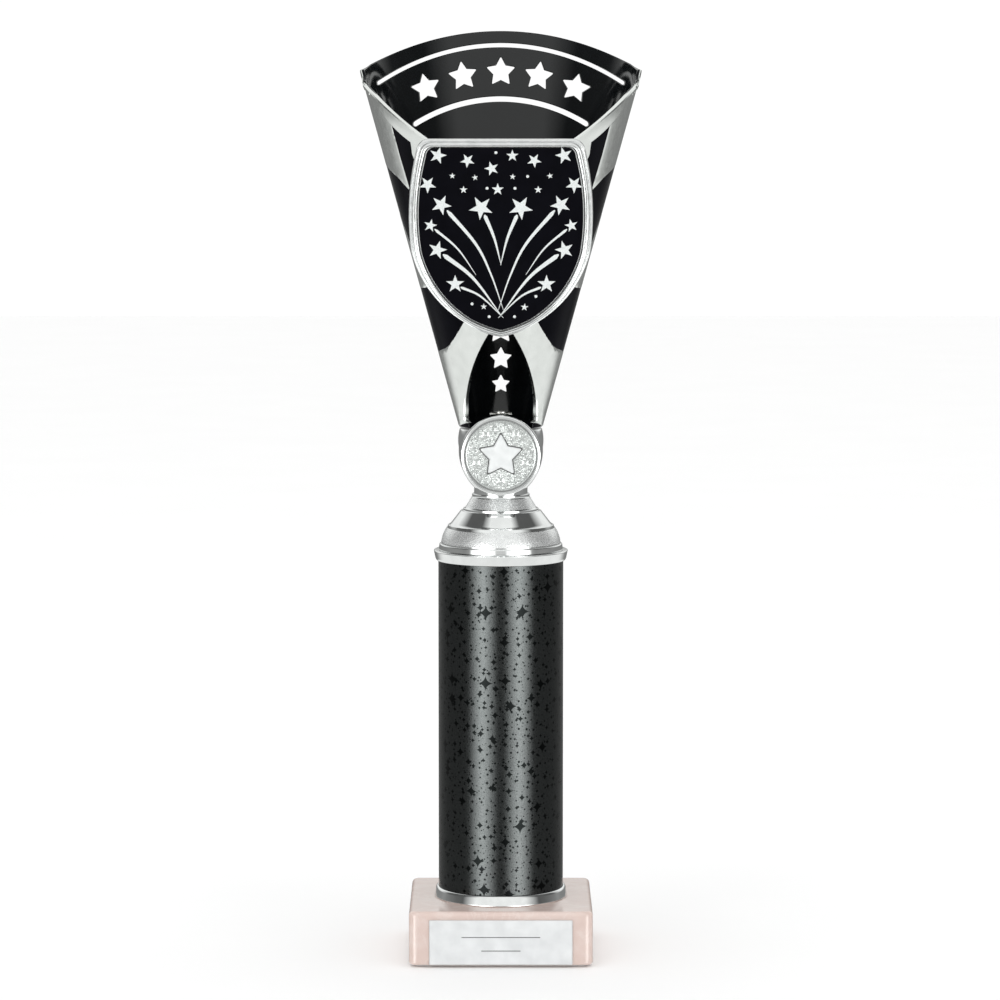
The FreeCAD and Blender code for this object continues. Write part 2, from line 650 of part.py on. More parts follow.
make_base_pad()
make_marble_base()
make_front_plate()
make_collar("lower_collar", BASE_TOP)
make_tube("column_core", "column_radius - wrap_thick", "core_thick")
make_tube("column_wrap", "column_radius", "wrap_thick")
make_collar("upper_collar", RISER_FOOT, inverted=True)
make_riser()
make_medal_holder()
make_centre_disc()
make_cup()
make_shield()
make_rod_and_fasteners()
check_document()
export_subparts()
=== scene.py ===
import math

import bpy
import bmesh
import numpy as np
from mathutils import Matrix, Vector, noise
from mathutils.geometry import delaunay_2d_cdt


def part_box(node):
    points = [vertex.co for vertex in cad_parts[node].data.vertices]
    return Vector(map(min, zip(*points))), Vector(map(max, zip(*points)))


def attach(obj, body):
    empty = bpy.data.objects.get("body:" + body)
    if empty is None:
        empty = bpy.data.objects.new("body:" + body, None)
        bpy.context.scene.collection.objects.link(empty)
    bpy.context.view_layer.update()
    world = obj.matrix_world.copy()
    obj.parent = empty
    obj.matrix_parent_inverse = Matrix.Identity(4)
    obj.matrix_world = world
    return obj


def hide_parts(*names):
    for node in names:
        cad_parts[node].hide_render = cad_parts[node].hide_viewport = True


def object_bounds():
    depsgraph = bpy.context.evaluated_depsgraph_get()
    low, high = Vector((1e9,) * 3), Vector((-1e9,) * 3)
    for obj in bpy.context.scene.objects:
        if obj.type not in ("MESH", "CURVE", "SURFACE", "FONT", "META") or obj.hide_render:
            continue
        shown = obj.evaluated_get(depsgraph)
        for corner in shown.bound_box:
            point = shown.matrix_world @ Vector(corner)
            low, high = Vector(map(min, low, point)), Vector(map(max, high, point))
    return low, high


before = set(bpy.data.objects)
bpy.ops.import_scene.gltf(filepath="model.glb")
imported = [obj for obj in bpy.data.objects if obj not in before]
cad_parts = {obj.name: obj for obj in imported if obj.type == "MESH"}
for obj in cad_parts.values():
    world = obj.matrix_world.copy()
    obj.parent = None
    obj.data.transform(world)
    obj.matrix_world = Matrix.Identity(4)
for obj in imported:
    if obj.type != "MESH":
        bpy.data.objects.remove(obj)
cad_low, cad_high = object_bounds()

MM = 0.001
ROUND_STEPS = 192


def box_mm(node):
    """Lowest and highest corner of a CAD node, in millimetres."""
    low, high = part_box(node)
    return low / MM, high / MM


# ---------------------------------------------------------------- materials

def new_material(name):
    """An empty node material: its nodes, links and principled shader."""
    material = bpy.data.materials.new(name)
    material.use_nodes = True
    nodes, links = material.node_tree.nodes, material.node_tree.links
    return material, nodes, links, nodes["Principled BSDF"]


def set_shader(shader, **values):
    """Sets the shader's own sockets; underscores in a name stand for spaces."""
    for name, value in values.items():
        shader.inputs[name.replace("_", " ")].default_value = value


def math_node(nodes, links, operation, *inputs):
    """A math node whose inputs are numbers or sockets; gives its output socket."""
    node = nodes.new("ShaderNodeMath")
    node.operation = operation
    for index, item in enumerate(inputs):
        if isinstance(item, (int, float)):
            node.inputs[index].default_value = item
        else:
            links.new(item, node.inputs[index])
    return node.outputs[0]


def place(nodes, links, scale):
    """Object coordinates scaled so that one unit is 1 / scale metres."""
    coordinates = nodes.new("ShaderNodeTexCoord")
    mapping = nodes.new("ShaderNodeMapping")
    mapping.inputs["Scale"].default_value = scale if isinstance(scale, tuple) else (scale,) * 3
    links.new(coordinates.outputs["Object"], mapping.inputs["Vector"])
    return mapping.outputs["Vector"]


def noise_tex(nodes, links, scale, detail=3.0, roughness=0.5, distortion=0.0):
    """Noise in object space; scale counts features per metre."""
    texture = nodes.new("ShaderNodeTexNoise")
    texture.inputs["Scale"].default_value = 1.0
    texture.inputs["Detail"].default_value = detail
    texture.inputs["Roughness"].default_value = roughness
    texture.inputs["Distortion"].default_value = distortion
    links.new(place(nodes, links, scale), texture.inputs["Vector"])
    return texture.outputs["Fac"]


def ramp(nodes, links, factor, stops):
    """A colour ramp over a factor; stops are (position, colour)."""
    node = nodes.new("ShaderNodeValToRGB")
    elements = node.color_ramp.elements
    while len(elements) > 1:
        elements.remove(elements[-1])
    elements[0].position = stops[0][0]
    elements[0].color = (*stops[0][1], 1.0)
    for position, colour in stops[1:]:
        elements.new(position).color = (*colour, 1.0)
    links.new(factor, node.inputs["Fac"])
    return node.outputs["Color"]


def mix_colours(nodes, links, factor, one, two):
    """One colour into another by a factor; the second may be a plain colour."""
    mix = nodes.new("ShaderNodeMix")
    mix.data_type = "RGBA"
    links.new(factor, mix.inputs["Factor"])
    links.new(one, mix.inputs["A"])
    if isinstance(two, tuple):
        mix.inputs["B"].default_value = (*two, 1.0)
    else:
        links.new(two, mix.inputs["B"])
    return mix.outputs["Result"]


def spread(nodes, links, value, low, high, bottom=0.0, top=1.0, smooth=False):
    """Carries a value from the range low to high over to the range bottom to top."""
    node = nodes.new("ShaderNodeMapRange")
    if smooth:
        node.interpolation_type = "SMOOTHSTEP"
    for name, number in (("From Min", low), ("From Max", high), ("To Min", bottom),
                         ("To Max", top)):
        node.inputs[name].default_value = number
    links.new(value, node.inputs["Value"])
    return node.outputs["Result"]


def grey(level):
    """A neutral colour."""
    return (level, level, level)


def vary_roughness(nodes, links, shader, low, high, scale):
    """Roughness that drifts between two values."""
    drift = noise_tex(nodes, links, scale, 2.0)
    links.new(spread(nodes, links, drift, 0.3, 0.7, low, high), shader.inputs["Roughness"])


def add_bump(nodes, links, shader, height, distance, strength=1.0):
    """Surface relief from a height socket; distance is in metres."""
    bump = nodes.new("ShaderNodeBump")
    bump.inputs["Strength"].default_value = strength
    bump.inputs["Distance"].default_value = distance
    links.new(height, bump.inputs["Height"])
    links.new(bump.outputs["Normal"], shader.inputs["Normal"])


def metal(name, dark, light, rough_low, rough_high, scale=260, relief=0.0, relief_scale=2500,
          body=1.0):
    """A plated or solid metal whose tone and roughness drift slightly; a body below 1 gives
    the frosted look of a matt plating."""
    material, nodes, links, shader = new_material(name)
    set_shader(shader, Metallic=body)
    tone = ramp(nodes, links, noise_tex(nodes, links, scale, 2.0), [(0.3, dark), (0.7, light)])
    links.new(tone, shader.inputs["Base Color"])
    vary_roughness(nodes, links, shader, rough_low, rough_high, scale * 2)
    if relief:
        add_bump(nodes, links, shader, noise_tex(nodes, links, relief_scale, 2.0), relief)
    return material


def make_marble():
    """Pale pink-cream marble: soft clouds, faint veins, a low polish."""
    material, nodes, links, shader = new_material("pink_marble")
    set_shader(shader, Coat_Weight=0.2, Coat_Roughness=0.15, Specular_IOR_Level=0.5)
    clouds = noise_tex(nodes, links, (70, 70, 110), 5.0, 0.6, 0.8)
    body = ramp(nodes, links, clouds, [(0.2, (0.65, 0.51, 0.46)), (0.5, (0.70, 0.56, 0.51)),
                                       (0.8, (0.735, 0.625, 0.58))])
    vein = noise_tex(nodes, links, (45, 60, 35), 4.0, 0.55, 2.2)
    ridge = math_node(nodes, links, "ABSOLUTE", math_node(nodes, links, "SUBTRACT", vein, 0.5))
    mask = ramp(nodes, links, ridge, [(0.0, grey(1.0)), (0.035, grey(0.0))])
    strength = math_node(nodes, links, "MULTIPLY", mask, 0.22)
    links.new(mix_colours(nodes, links, strength, body, (0.82, 0.74, 0.70)),
              shader.inputs["Base Color"])
    vary_roughness(nodes, links, shader, 0.10, 0.20, 300)
    add_bump(nodes, links, shader, noise_tex(nodes, links, 300, 2.0), 0.00001)
    return material


def make_foil(radius):
    """Satin black foil with a darker print of four-pointed stars, crosses and dots."""
    material, nodes, links, shader = new_material("star_foil")
    split = nodes.new("ShaderNodeSeparateXYZ")
    coordinates = nodes.new("ShaderNodeTexCoord")
    links.new(coordinates.outputs["Object"], split.inputs[0])
    front = math_node(nodes, links, "MULTIPLY", split.outputs["Y"], -1.0)
    angle = math_node(nodes, links, "ARCTAN2", split.outputs["X"], front)
    across = math_node(nodes, links, "MULTIPLY", angle, radius)
    up = math_node(nodes, links, "MULTIPLY", split.outputs["Z"], 1.0 / MM)
    unrolled = nodes.new("ShaderNodeCombineXYZ")
    links.new(across, unrolled.inputs["X"])
    links.new(up, unrolled.inputs["Y"])

    def print_layer(spacing, smallest, largest, shift, power):
        """One random layer of marks: power 0.5 gives four-pointed stars and 2 gives dots."""
        shifted = nodes.new("ShaderNodeVectorMath")
        shifted.operation = "ADD"
        shifted.inputs[1].default_value = (shift, shift * 1.7, 0.0)
        links.new(unrolled.outputs[0], shifted.inputs[0])
        cells = nodes.new("ShaderNodeTexVoronoi")
        cells.voronoi_dimensions = "2D"
        cells.inputs["Scale"].default_value = 1.0 / spacing
        cells.inputs["Randomness"].default_value = 0.85
        links.new(shifted.outputs[0], cells.inputs["Vector"])
        offset = nodes.new("ShaderNodeVectorMath")
        offset.operation = "SUBTRACT"
        links.new(shifted.outputs[0], offset.inputs[0])
        links.new(cells.outputs["Position"], offset.inputs[1])
        parts = nodes.new("ShaderNodeSeparateXYZ")
        links.new(offset.outputs[0], parts.inputs[0])
        terms = []
        for axis in ("X", "Y"):
            size = math_node(nodes, links, "ABSOLUTE", parts.outputs[axis])
            terms.append(math_node(nodes, links, "POWER", size, power))
        total = math_node(nodes, links, "ADD", terms[0], terms[1])
        reach = math_node(nodes, links, "POWER", total, 1.0 / power)
        tint = nodes.new("ShaderNodeSeparateXYZ")
        links.new(cells.outputs["Color"], tint.inputs[0])
        limit = math_node(nodes, links, "MULTIPLY_ADD", tint.outputs["X"], largest - smallest,
                          smallest)
        edge = math_node(nodes, links, "SUBTRACT", limit, reach)
        sharp = math_node(nodes, links, "MULTIPLY", edge, 9.0)
        return math_node(nodes, links, "MINIMUM", math_node(
            nodes, links, "MAXIMUM", sharp, 0.0), 1.0)

    marks = print_layer(13.0, 2.1, 3.2, 3.1, 0.55)
    for spacing, smallest, largest, shift, power in (
            (5.2, 0.7, 1.75, 11.3, 0.6), (2.8, 0.15, 0.5, 23.7, 2.0), (4.1, 0.1, 1.1, 41.9, 0.7),
            (2.2, 0.05, 0.32, 57.2, 2.0)):
        layer = print_layer(spacing, smallest, largest, shift, power)
        marks = math_node(nodes, links, "MAXIMUM", marks, layer)
    grain = noise_tex(nodes, links, 2600, 2.0)
    ground = ramp(nodes, links, grain, [(0.3, (0.040, 0.043, 0.043)), (0.7, (0.068, 0.072, 0.072))])
    links.new(mix_colours(nodes, links, marks, ground, (0.007, 0.008, 0.008)),
              shader.inputs["Base Color"])
    set_shader(shader, Metallic=1.0)
    rough = math_node(nodes, links, "MULTIPLY_ADD", marks, 0.06, 0.17)
    links.new(math_node(nodes, links, "MULTIPLY_ADD", grain, 0.08, rough),
              shader.inputs["Roughness"])
    add_bump(nodes, links, shader, grain, 0.00002)
    return material


def make_lacquer(name, tint, shine, ior=1.5):
    """Deep gloss black with a trace of orange peel."""
    material, nodes, links, shader = new_material(name)
    tone = ramp(nodes, links, noise_tex(nodes, links, 180, 2.0),
                [(0.3, tuple(0.7 * part for part in tint)), (0.7, tint)])
    links.new(tone, shader.inputs["Base Color"])
    set_shader(shader, Specular_IOR_Level=shine, IOR=ior)
    vary_roughness(nodes, links, shader, 0.06, 0.14, 240)
    add_bump(nodes, links, shader, noise_tex(nodes, links, 420, 1.0), 0.00001)
    return material


def make_plain(name, dark, light, roughness, scale=800, relief=0.0001):
    """A dull solid such as foam, board or tape."""
    material, nodes, links, shader = new_material(name)
    fleck = noise_tex(nodes, links, scale, 4.0)
    links.new(ramp(nodes, links, fleck, [(0.3, dark), (0.7, light)]), shader.inputs["Base Color"])
    vary_roughness(nodes, links, shader, roughness - 0.06, roughness + 0.06, scale)
    add_bump(nodes, links, shader, fleck, relief)
    return material


CHROME = metal("bright_plating", (0.84, 0.85, 0.85), (0.93, 0.94, 0.94), 0.04, 0.09)
HAMMERED = metal("hammered_plating", (0.74, 0.75, 0.75), (0.88, 0.89, 0.89), 0.22, 0.34,
                 scale=900, relief=0.00003, relief_scale=3200, body=0.7)
LEAF_SILVER = metal("leaf_plating", (0.84, 0.86, 0.84), (0.92, 0.94, 0.92), 0.16, 0.24)
DISC_SILVER = metal("disc_silver", (0.47, 0.49, 0.48), (0.60, 0.62, 0.61), 0.22, 0.34,
                    scale=700, body=0.75)
STAR_SILVER = metal("star_silver", (0.74, 0.76, 0.76), (0.82, 0.84, 0.84), 0.30, 0.40, body=0.2)
FRAME_SILVER = metal("frame_silver", (0.70, 0.71, 0.71), (0.80, 0.81, 0.81), 0.12, 0.2, body=0.8)
PRINT_SILVER = metal("print_silver", (0.58, 0.61, 0.61), (0.80, 0.83, 0.82), 0.42, 0.56,
                     scale=3600, relief=0.00002, relief_scale=6000, body=0.15)
PLATE_SILVER = metal("engraving_silver", (0.72, 0.73, 0.74), (0.80, 0.81, 0.82), 0.34, 0.42,
                     scale=200, body=0.4)
STEEL = metal("zinc_steel", (0.50, 0.50, 0.47), (0.68, 0.68, 0.66), 0.28, 0.42,
              scale=500, relief=0.00002, relief_scale=1800)
MARBLE = make_marble()
BLACK = make_lacquer("black_lacquer", (0.004, 0.005, 0.006), 0.55)
BLACK_OUTSIDE = make_lacquer("black_lacquer_outside", (0.003, 0.003, 0.005), 0.12, 1.2)
PRINT_BLACK = make_lacquer("print_black", (0.003, 0.003, 0.005), 0.1, 1.25)
ENGRAVED = make_plain("engraved_grey", grey(0.10), grey(0.20), 0.6, 3000, 0.00002)
FOAM = make_plain("foam", (0.68, 0.66, 0.65), (0.76, 0.74, 0.73), 0.85, 1500)
# A dark grey metal that paints shade: the ring it makes round the disc's large star stands for the
# shadow at that star's edge.
DISC_PAINTED_SHADE = metal("disc_painted_shade", grey(0.10), grey(0.16), 0.35, 0.45, scale=700, body=0.6)
TAPE = make_plain("tape", (0.66, 0.66, 0.62), (0.78, 0.78, 0.74), 0.6)
BOARD = make_plain("board", (0.34, 0.24, 0.14), (0.50, 0.38, 0.25), 0.85, 600)


# ---------------------------------------------------------------- mesh helpers

def add_piece(name, points, faces, material, slot, nodes, sharp=30.0):
    """Makes a piece from points in millimetres; it rides on the root body."""
    mesh = bpy.data.meshes.new(name)
    mesh.from_pydata([tuple(float(part) * MM for part in point) for point in points], [],
                     [tuple(int(index) for index in face) for face in faces])
    shape = bmesh.new()
    shape.from_mesh(mesh)
    bmesh.ops.remove_doubles(shape, verts=shape.verts, dist=1e-7)
    bmesh.ops.dissolve_degenerate(shape, edges=shape.edges, dist=1e-7)
    bmesh.ops.recalc_face_normals(shape, faces=shape.faces)
    shape.to_mesh(mesh)
    shape.free()
    mesh.polygons.foreach_set("use_smooth", [True] * len(mesh.polygons))
    mesh.set_sharp_from_angle(angle=math.radians(sharp))
    mesh.materials.append(material)
    piece = bpy.data.objects.new(name, mesh)
    bpy.context.scene.collection.objects.link(piece)
    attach(piece, "root")
    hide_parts(*nodes)
    return piece


def rounded(corners, steps=5):
    """A closed outline with each corner (x, y, radius) rounded by a small arc."""
    path = []
    for index, (x, y, radius) in enumerate(corners):
        here = Vector((x, y))
        back = Vector(corners[index - 1][:2]) - here
        ahead = Vector(corners[(index + 1) % len(corners)][:2]) - here
        if radius <= 0:
            path.append((x, y))
            continue
        turn = back.angle(ahead)
        cut = min(radius / math.tan(turn / 2), 0.49 * back.length, 0.49 * ahead.length)
        start, end = here + back.normalized() * cut, here + ahead.normalized() * cut
        for step in range(steps + 1):
            share = step / steps
            one = start.lerp(here, share)
            two = here.lerp(end, share)
            point = one.lerp(two, share)
            path.append((point.x, point.y))
    return path


def trace(corners, step=0.8, closed=False):
    """Points along a chain of corners: (x, y) after a straight edge, or (x, y, radius, turn)
    after an arc that bends left (+1) or right (-1)."""
    chain = list(corners) + ([corners[0]] if closed else [])
    path = [tuple(chain[0][:2])]
    for before, after in zip(chain, chain[1:]):
        start, end = Vector(before[:2]), Vector(after[:2])
        chord = end - start
        count = max(1, round(chord.length / step))
        if len(after) == 2:
            path += [tuple(start.lerp(end, k / count)) for k in range(1, count + 1)]
            continue
        radius, turn = after[2], after[3]
        left = Vector((-chord.y, chord.x)).normalized()
        reach = math.sqrt(max(radius ** 2 - (chord.length / 2) ** 2, 0.0))
        centre = (start + end) / 2 + left * reach * turn
        sweep = 2 * math.asin(min(chord.length / 2 / radius, 1.0)) * turn
        first = start - centre
        for k in range(1, count + 1):
            angle = sweep * k / count
            path.append((centre.x + first.x * math.cos(angle) - first.y * math.sin(angle),
                         centre.y + first.x * math.sin(angle) + first.y * math.cos(angle)))
    return path[:-1] if closed else path


def lathe(profile, steps=ROUND_STEPS, relief=None, frame_of=None):
    """Turns a closed (radius, height) profile about Z. relief(radius, height, angle) gives
    how far the surface stands out; frame_of turns the result to another axis."""
    points, faces = [], []
    count = len(profile)
    for turn in range(steps):
        angle = 2 * math.pi * turn / steps
        for radius, height in profile:
            grown = radius + (relief(radius, height, angle) if relief else 0.0)
            points.append((grown * math.sin(angle), -grown * math.cos(angle), height))
    for turn in range(steps):
        following = (turn + 1) % steps
        for index in range(count):
            after = (index + 1) % count
            faces.append((turn * count + index, turn * count + after,
                          following * count + after, following * count + index))
    if frame_of:
        points = [frame_of(*point) for point in points]
    return points, faces


def inside(points, loops):
    """Even-odd test of points against closed loops."""
    result = np.zeros(len(points), bool)
    x, y = points[:, 0], points[:, 1]
    for loop in loops:
        a = np.asarray(loop, float)
        b = np.roll(a, -1, axis=0)
        for (ax, ay), (bx, by) in zip(a, b):
            if ay == by:
                continue
            crosses = (ay > y) != (by > y)
            result ^= crosses & (x < ax + (bx - ax) * (y - ay) / (by - ay))
    return result


def edge_distance(points, loops):
    """Distance of each point to the nearest loop segment."""
    best = np.full(len(points), 1e9)
    for loop in loops:
        a = np.asarray(loop, float)
        b = np.roll(a, -1, axis=0)
        for start, end in zip(a, b):
            along = end - start
            length = max(float(along @ along), 1e-12)
            share = np.clip(((points - start) @ along) / length, 0.0, 1.0)
            best = np.minimum(best, np.linalg.norm(points - start - share[:, None] * along, axis=1))
    return best


def fill(loops, spacing, rings=()):
    """Triangulates the area between loops with an even inner grid. rings are distances from
    the edge at which the grid also gets a row of points. Gives points and triangles."""
    boundary = [tuple(point) for loop in loops for point in loop]
    edges, first = [], 0
    for loop in loops:
        count = len(loop)
        edges += [(first + k, first + (k + 1) % count) for k in range(count)]
        first += count
    flat = np.asarray(boundary, float)
    low, high = flat.min(0), flat.max(0)
    rows = np.arange(low[1], high[1] + spacing, spacing * 0.866)
    grid = [(x + (spacing / 2 if index % 2 else 0.0), y) for index, y in enumerate(rows)
            for x in np.arange(low[0], high[0] + spacing, spacing)]
    extra = []
    for distance in rings:
        for loop in loops:
            a = np.asarray(loop, float)
            ahead = np.roll(a, -1, axis=0) - np.roll(a, 1, axis=0)
            normal = np.stack([-ahead[:, 1], ahead[:, 0]], 1)
            normal /= np.maximum(np.linalg.norm(normal, axis=1, keepdims=True), 1e-9)
            extra += [*(a + normal * distance), *(a - normal * distance)]
    kept = []
    for candidates, room in ((extra, 0.9 * min(rings, default=1.0)),
                             (grid, max((*rings, 0.0)) + 0.45 * spacing)):
        if len(candidates):
            candidates = np.asarray(candidates, float)
            candidates = candidates[inside(candidates, loops)]
            kept += [tuple(p) for p in candidates[edge_distance(candidates, loops) > room]]
    points = [Vector(p) for p in boundary + kept]
    made = delaunay_2d_cdt(points, edges, [], 0, 1e-6)
    flat = np.array([tuple(p) for p in made[0]])
    triangles = np.array([tuple(face) for face in made[2]])
    middle = flat[triangles].mean(axis=1)
    triangles = triangles[inside(middle, loops)]
    return flat, triangles


def open_edges(triangles):
    """Directed edges that belong to one triangle only."""
    seen = {}
    for triangle in triangles:
        for k in range(3):
            edge = (int(triangle[k]), int(triangle[(k + 1) % 3]))
            seen[edge] = True
    return [edge for edge in seen if (edge[1], edge[0]) not in seen]


def thicken(flat, triangles, top, bottom):
    """A closed solid between two images of one flat mesh; top and bottom map a flat point."""
    count = len(flat)
    points = [top(index) for index in range(count)] + [bottom(index) for index in range(count)]
    faces = [tuple(t) for t in triangles] + [tuple(t[::-1] + count) for t in triangles]
    faces += [(b, a, a + count, b + count) for a, b in open_edges(triangles)]
    return points, faces


def star_points(radius, ratio, x=0.0, y=0.0, tilt=0.0, tip_round=0.0):
    """The ten corners of a five-pointed star, with its tips rounded when asked."""
    corners = []
    for step in range(10):
        reach = radius * (ratio if step % 2 else 1.0)
        angle = math.radians(90 + tilt + 36 * step)
        corners.append((x + reach * math.cos(angle), y + reach * math.sin(angle),
                        0.0 if step % 2 else tip_round))
    return rounded(corners, 4)


# ---------------------------------------------------------------- frame nodes kept as they are

def dress(node, material):
    """Gives a CAD node that stays visible its finished material."""
    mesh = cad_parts[node].data
    mesh.materials.clear()
    mesh.materials.append(material)


for kept, finish in (("marble_base", MARBLE), ("plate_adhesive", TAPE),
                     ("column_core", BOARD), ("disc_adhesive", TAPE), ("insert_adhesive", TAPE),
                     ("tie_rod", STEEL), ("bottom_nut", STEEL), ("bottom_washer", STEEL),
                     ("spring_washer", STEEL), ("top_nut", STEEL), ("top_washer", STEEL)):
    dress(kept, finish)


def make_base_pad():
    """The thin foam pad under the base, its edges rolled over top and bottom."""
    low, high = box_mm("base_pad")
    loop = rounded([(low.x, low.y, 2.0), (high.x, low.y, 2.0), (high.x, high.y, 2.0),
                    (low.x, high.y, 2.0)])
    loop = trace(loop, 1.0, closed=True)
    flat, triangles = fill([loop], 3.0, (0.3, 0.8))
    roll = (1.0 - np.clip(edge_distance(flat, [loop]) / 0.8, 0.0, 1.0)) ** 2 * 0.25
    points, faces = thicken(flat, triangles, lambda k: (*flat[k], high.z - roll[k]),
                            lambda k: (*flat[k], low.z + roll[k]))
    pad = add_piece("foam_base_pad", points, faces, FOAM, "pad_foam", ["base_pad"])


make_base_pad()

BASE_TOP = box_mm("marble_base")[1].z
RISER_FOOT = box_mm("riser")[0].z
HOLDER_FOOT = box_mm("medal_holder")[0].z
CUP_FOOT = box_mm("cup_hood")[0].z
COLUMN_LOW, COLUMN_HIGH = (corner.z for corner in box_mm("column_wrap"))


# ---------------------------------------------------------------- collars, column and riser

def collar_profile(foot, up):
    """Section of a collar: sloping outer face, thin lip and a spigot inside the tube."""
    section = [(8.0, 0.0), (23.6, 0.0), (23.85, 0.02), (24.02, 0.12), (24.1, 0.28), (24.09, 0.4),
               (24.06, 0.5), (23.58, 2.8), (23.55, 2.9), (23.45, 3.15), (23.25, 3.48),
               (23.1, 3.62), (22.9, 3.7), (22.65, 3.7), (22.6, 3.65), (22.6, 1.95), (19.95, 1.95),
               (19.95, 6.0), (18.4, 6.0), (18.4, 1.9), (8.0, 1.9)]
    return [(radius, foot + up * height) for radius, height in section]


for node, foot, up in (("lower_collar", BASE_TOP, 1.0), ("upper_collar", RISER_FOOT, -1.0)):
    points, faces = lathe(collar_profile(foot, up))
    add_piece("turned_" + node, points, faces, CHROME, "plated_silver", [node], sharp=24)


def make_sleeve(radius, thick):
    """The foil sleeve, whose edge laps over itself down the back."""
    lap_half, lap = math.radians(8.0), 0.12

    def stand(reach, height, angle):
        turn = angle - math.pi
        if reach < radius - thick / 2 or not -lap_half < turn < lap_half:
            return 0.0
        return lap if turn < lap_half * 0.9 else lap * (lap_half - turn) / (0.1 * lap_half)

    section = [(radius - thick, COLUMN_LOW), (radius, COLUMN_LOW)]
    section += [(radius, COLUMN_LOW + (COLUMN_HIGH - COLUMN_LOW) * k / 40) for k in range(1, 41)]
    section += [(radius - thick, COLUMN_HIGH)]
    points, faces = lathe(section, 360, stand)
    return add_piece("foil_sleeve", points, faces, make_foil(radius), "column_foil",
                     ["column_wrap"], sharp=40)


make_sleeve(22.5, 0.3)


def hammer(point, size, depth):
    """Random dimples about one size apart: deepest at each cell's middle."""
    distances = noise.voronoi(Vector(point) / size)[0]
    return depth * min(distances[1] - distances[0], 0.8) - 0.4 * depth


RISER_BANDS = ((2.75, 7.85), (15.35, 18.95))


def riser_relief(radius, height, angle):
    """Hammered texture on the two bands of the riser, none elsewhere."""
    local = height - RISER_FOOT
    for low, high in RISER_BANDS:
        if low < local < high and radius > 10.4:
            edge = min(local - low, high - local, 0.5) / 0.5
            return edge * hammer((radius * math.sin(angle), radius * math.cos(angle), height),
                                 0.55, 0.13)
    return 0.0


def make_riser():
    """The riser's outer mouldings, thin inside, with both hammered bands in real relief."""
    outer = trace([(20.4, 0.0), (21.9, 0.0)]) + trace([(21.9, 0.0), (22.3, 0.4, 0.4, 1)], 0.15)
    outer += trace([(22.3, 0.4), (22.12, 1.9), (21.75, 2.3, 0.4, 1)], 0.15)
    outer += [(21.3, 2.32), (21.3, 2.6)]
    outer += trace([(21.5, 2.6), (19.6, 7.9, 12.0, 1)], 0.16)
    outer += [(19.25, 7.95), (19.2, 8.15), (19.12, 8.6), (19.02, 8.95), (18.85, 9.1),
              (18.35, 9.12)]
    outer += trace([(18.3, 9.15), (14.4, 14.2)], 0.8)
    outer += [(13.62, 14.2), (13.5, 14.32), (13.5, 14.95), (13.35, 15.1)]
    outer += trace([(12.9, 15.1), (10.5, 19.1)], 0.16)
    outer += [(10.2, 19.1), (10.3, 19.25), (10.38, 19.7), (10.3, 20.15), (10.15, 20.3),
              (9.62, 20.32), (9.6, 22.4)]
    inner = [(2.75, 22.4), (2.75, 19.4), (8.5, 19.4), (11.7, 15.1), (12.6, 14.2), (16.3, 9.1),
             (17.4, 7.9), (19.6, 2.3)]
    section = [(radius, RISER_FOOT + height) for radius, height in outer + inner]
    points, faces = lathe(section, 540, riser_relief)
    mesh = add_piece("turned_riser", points, faces, CHROME, "plated_silver", ["riser"],
                     sharp=28).data
    mesh.materials.append(HAMMERED)
    for polygon in mesh.polygons:
        local = polygon.center.z / MM - RISER_FOOT
        reach = polygon.center.xy.length / MM
        outside = reach > 19.4 if local < 8 else reach > 9.9
        if outside and any(low < local < high for low, high in RISER_BANDS):
            polygon.material_index = 1


make_riser()


# ---------------------------------------------------------------- medal holder and disc

DISC_LEVEL = HOLDER_FOOT + 13.7
DRUM_FRONT = -box_mm("medal_holder")[0].y


def facing(x, y, z):
    """Turns a lathe about Z to one about the disc's axis: z becomes the way forward."""
    return x, -z, y + DISC_LEVEL


def join(*parts):
    """One list of points and faces from several."""
    points, faces = [], []
    for more, sides in parts:
        faces += [[index + len(points) for index in side] for side in sides]
        points += more
    return points, faces


def make_holder():
    """The bulb, and the drum that carries the disc."""
    bulb = trace([(9.6, 0.0), (9.6, 0.8), (15.1, 15.2, 19.0, 1), (14.75, 21.9, 15.0, 1)], 0.5)
    bulb += [(14.6, 22.1), (2.75, 22.1), (2.75, 0.0)]
    body = lathe([(radius, HOLDER_FOOT + height) for radius, height in bulb])
    edge = DRUM_FRONT
    drum = [(0.0, 10.0), (14.35, 10.0), (14.4, 10.1), (14.4, edge - 0.95), (14.33, edge - 0.5),
            (14.12, edge - 0.18), (13.85, edge - 0.03), (13.6, edge), (13.45, edge - 0.05),
            (13.35, edge - 0.16), (13.27, edge - 0.16), (13.2, edge - 0.1),
            (13.12, edge - 0.16), (13.1, edge - 0.3), (13.1, edge - 1.4), (0.0, edge - 1.4)]
    add_piece("holder_bulb_and_drum", *join(body, lathe(drum, frame_of=facing)), CHROME,
              "plated_silver", ["medal_holder"], sharp=30)


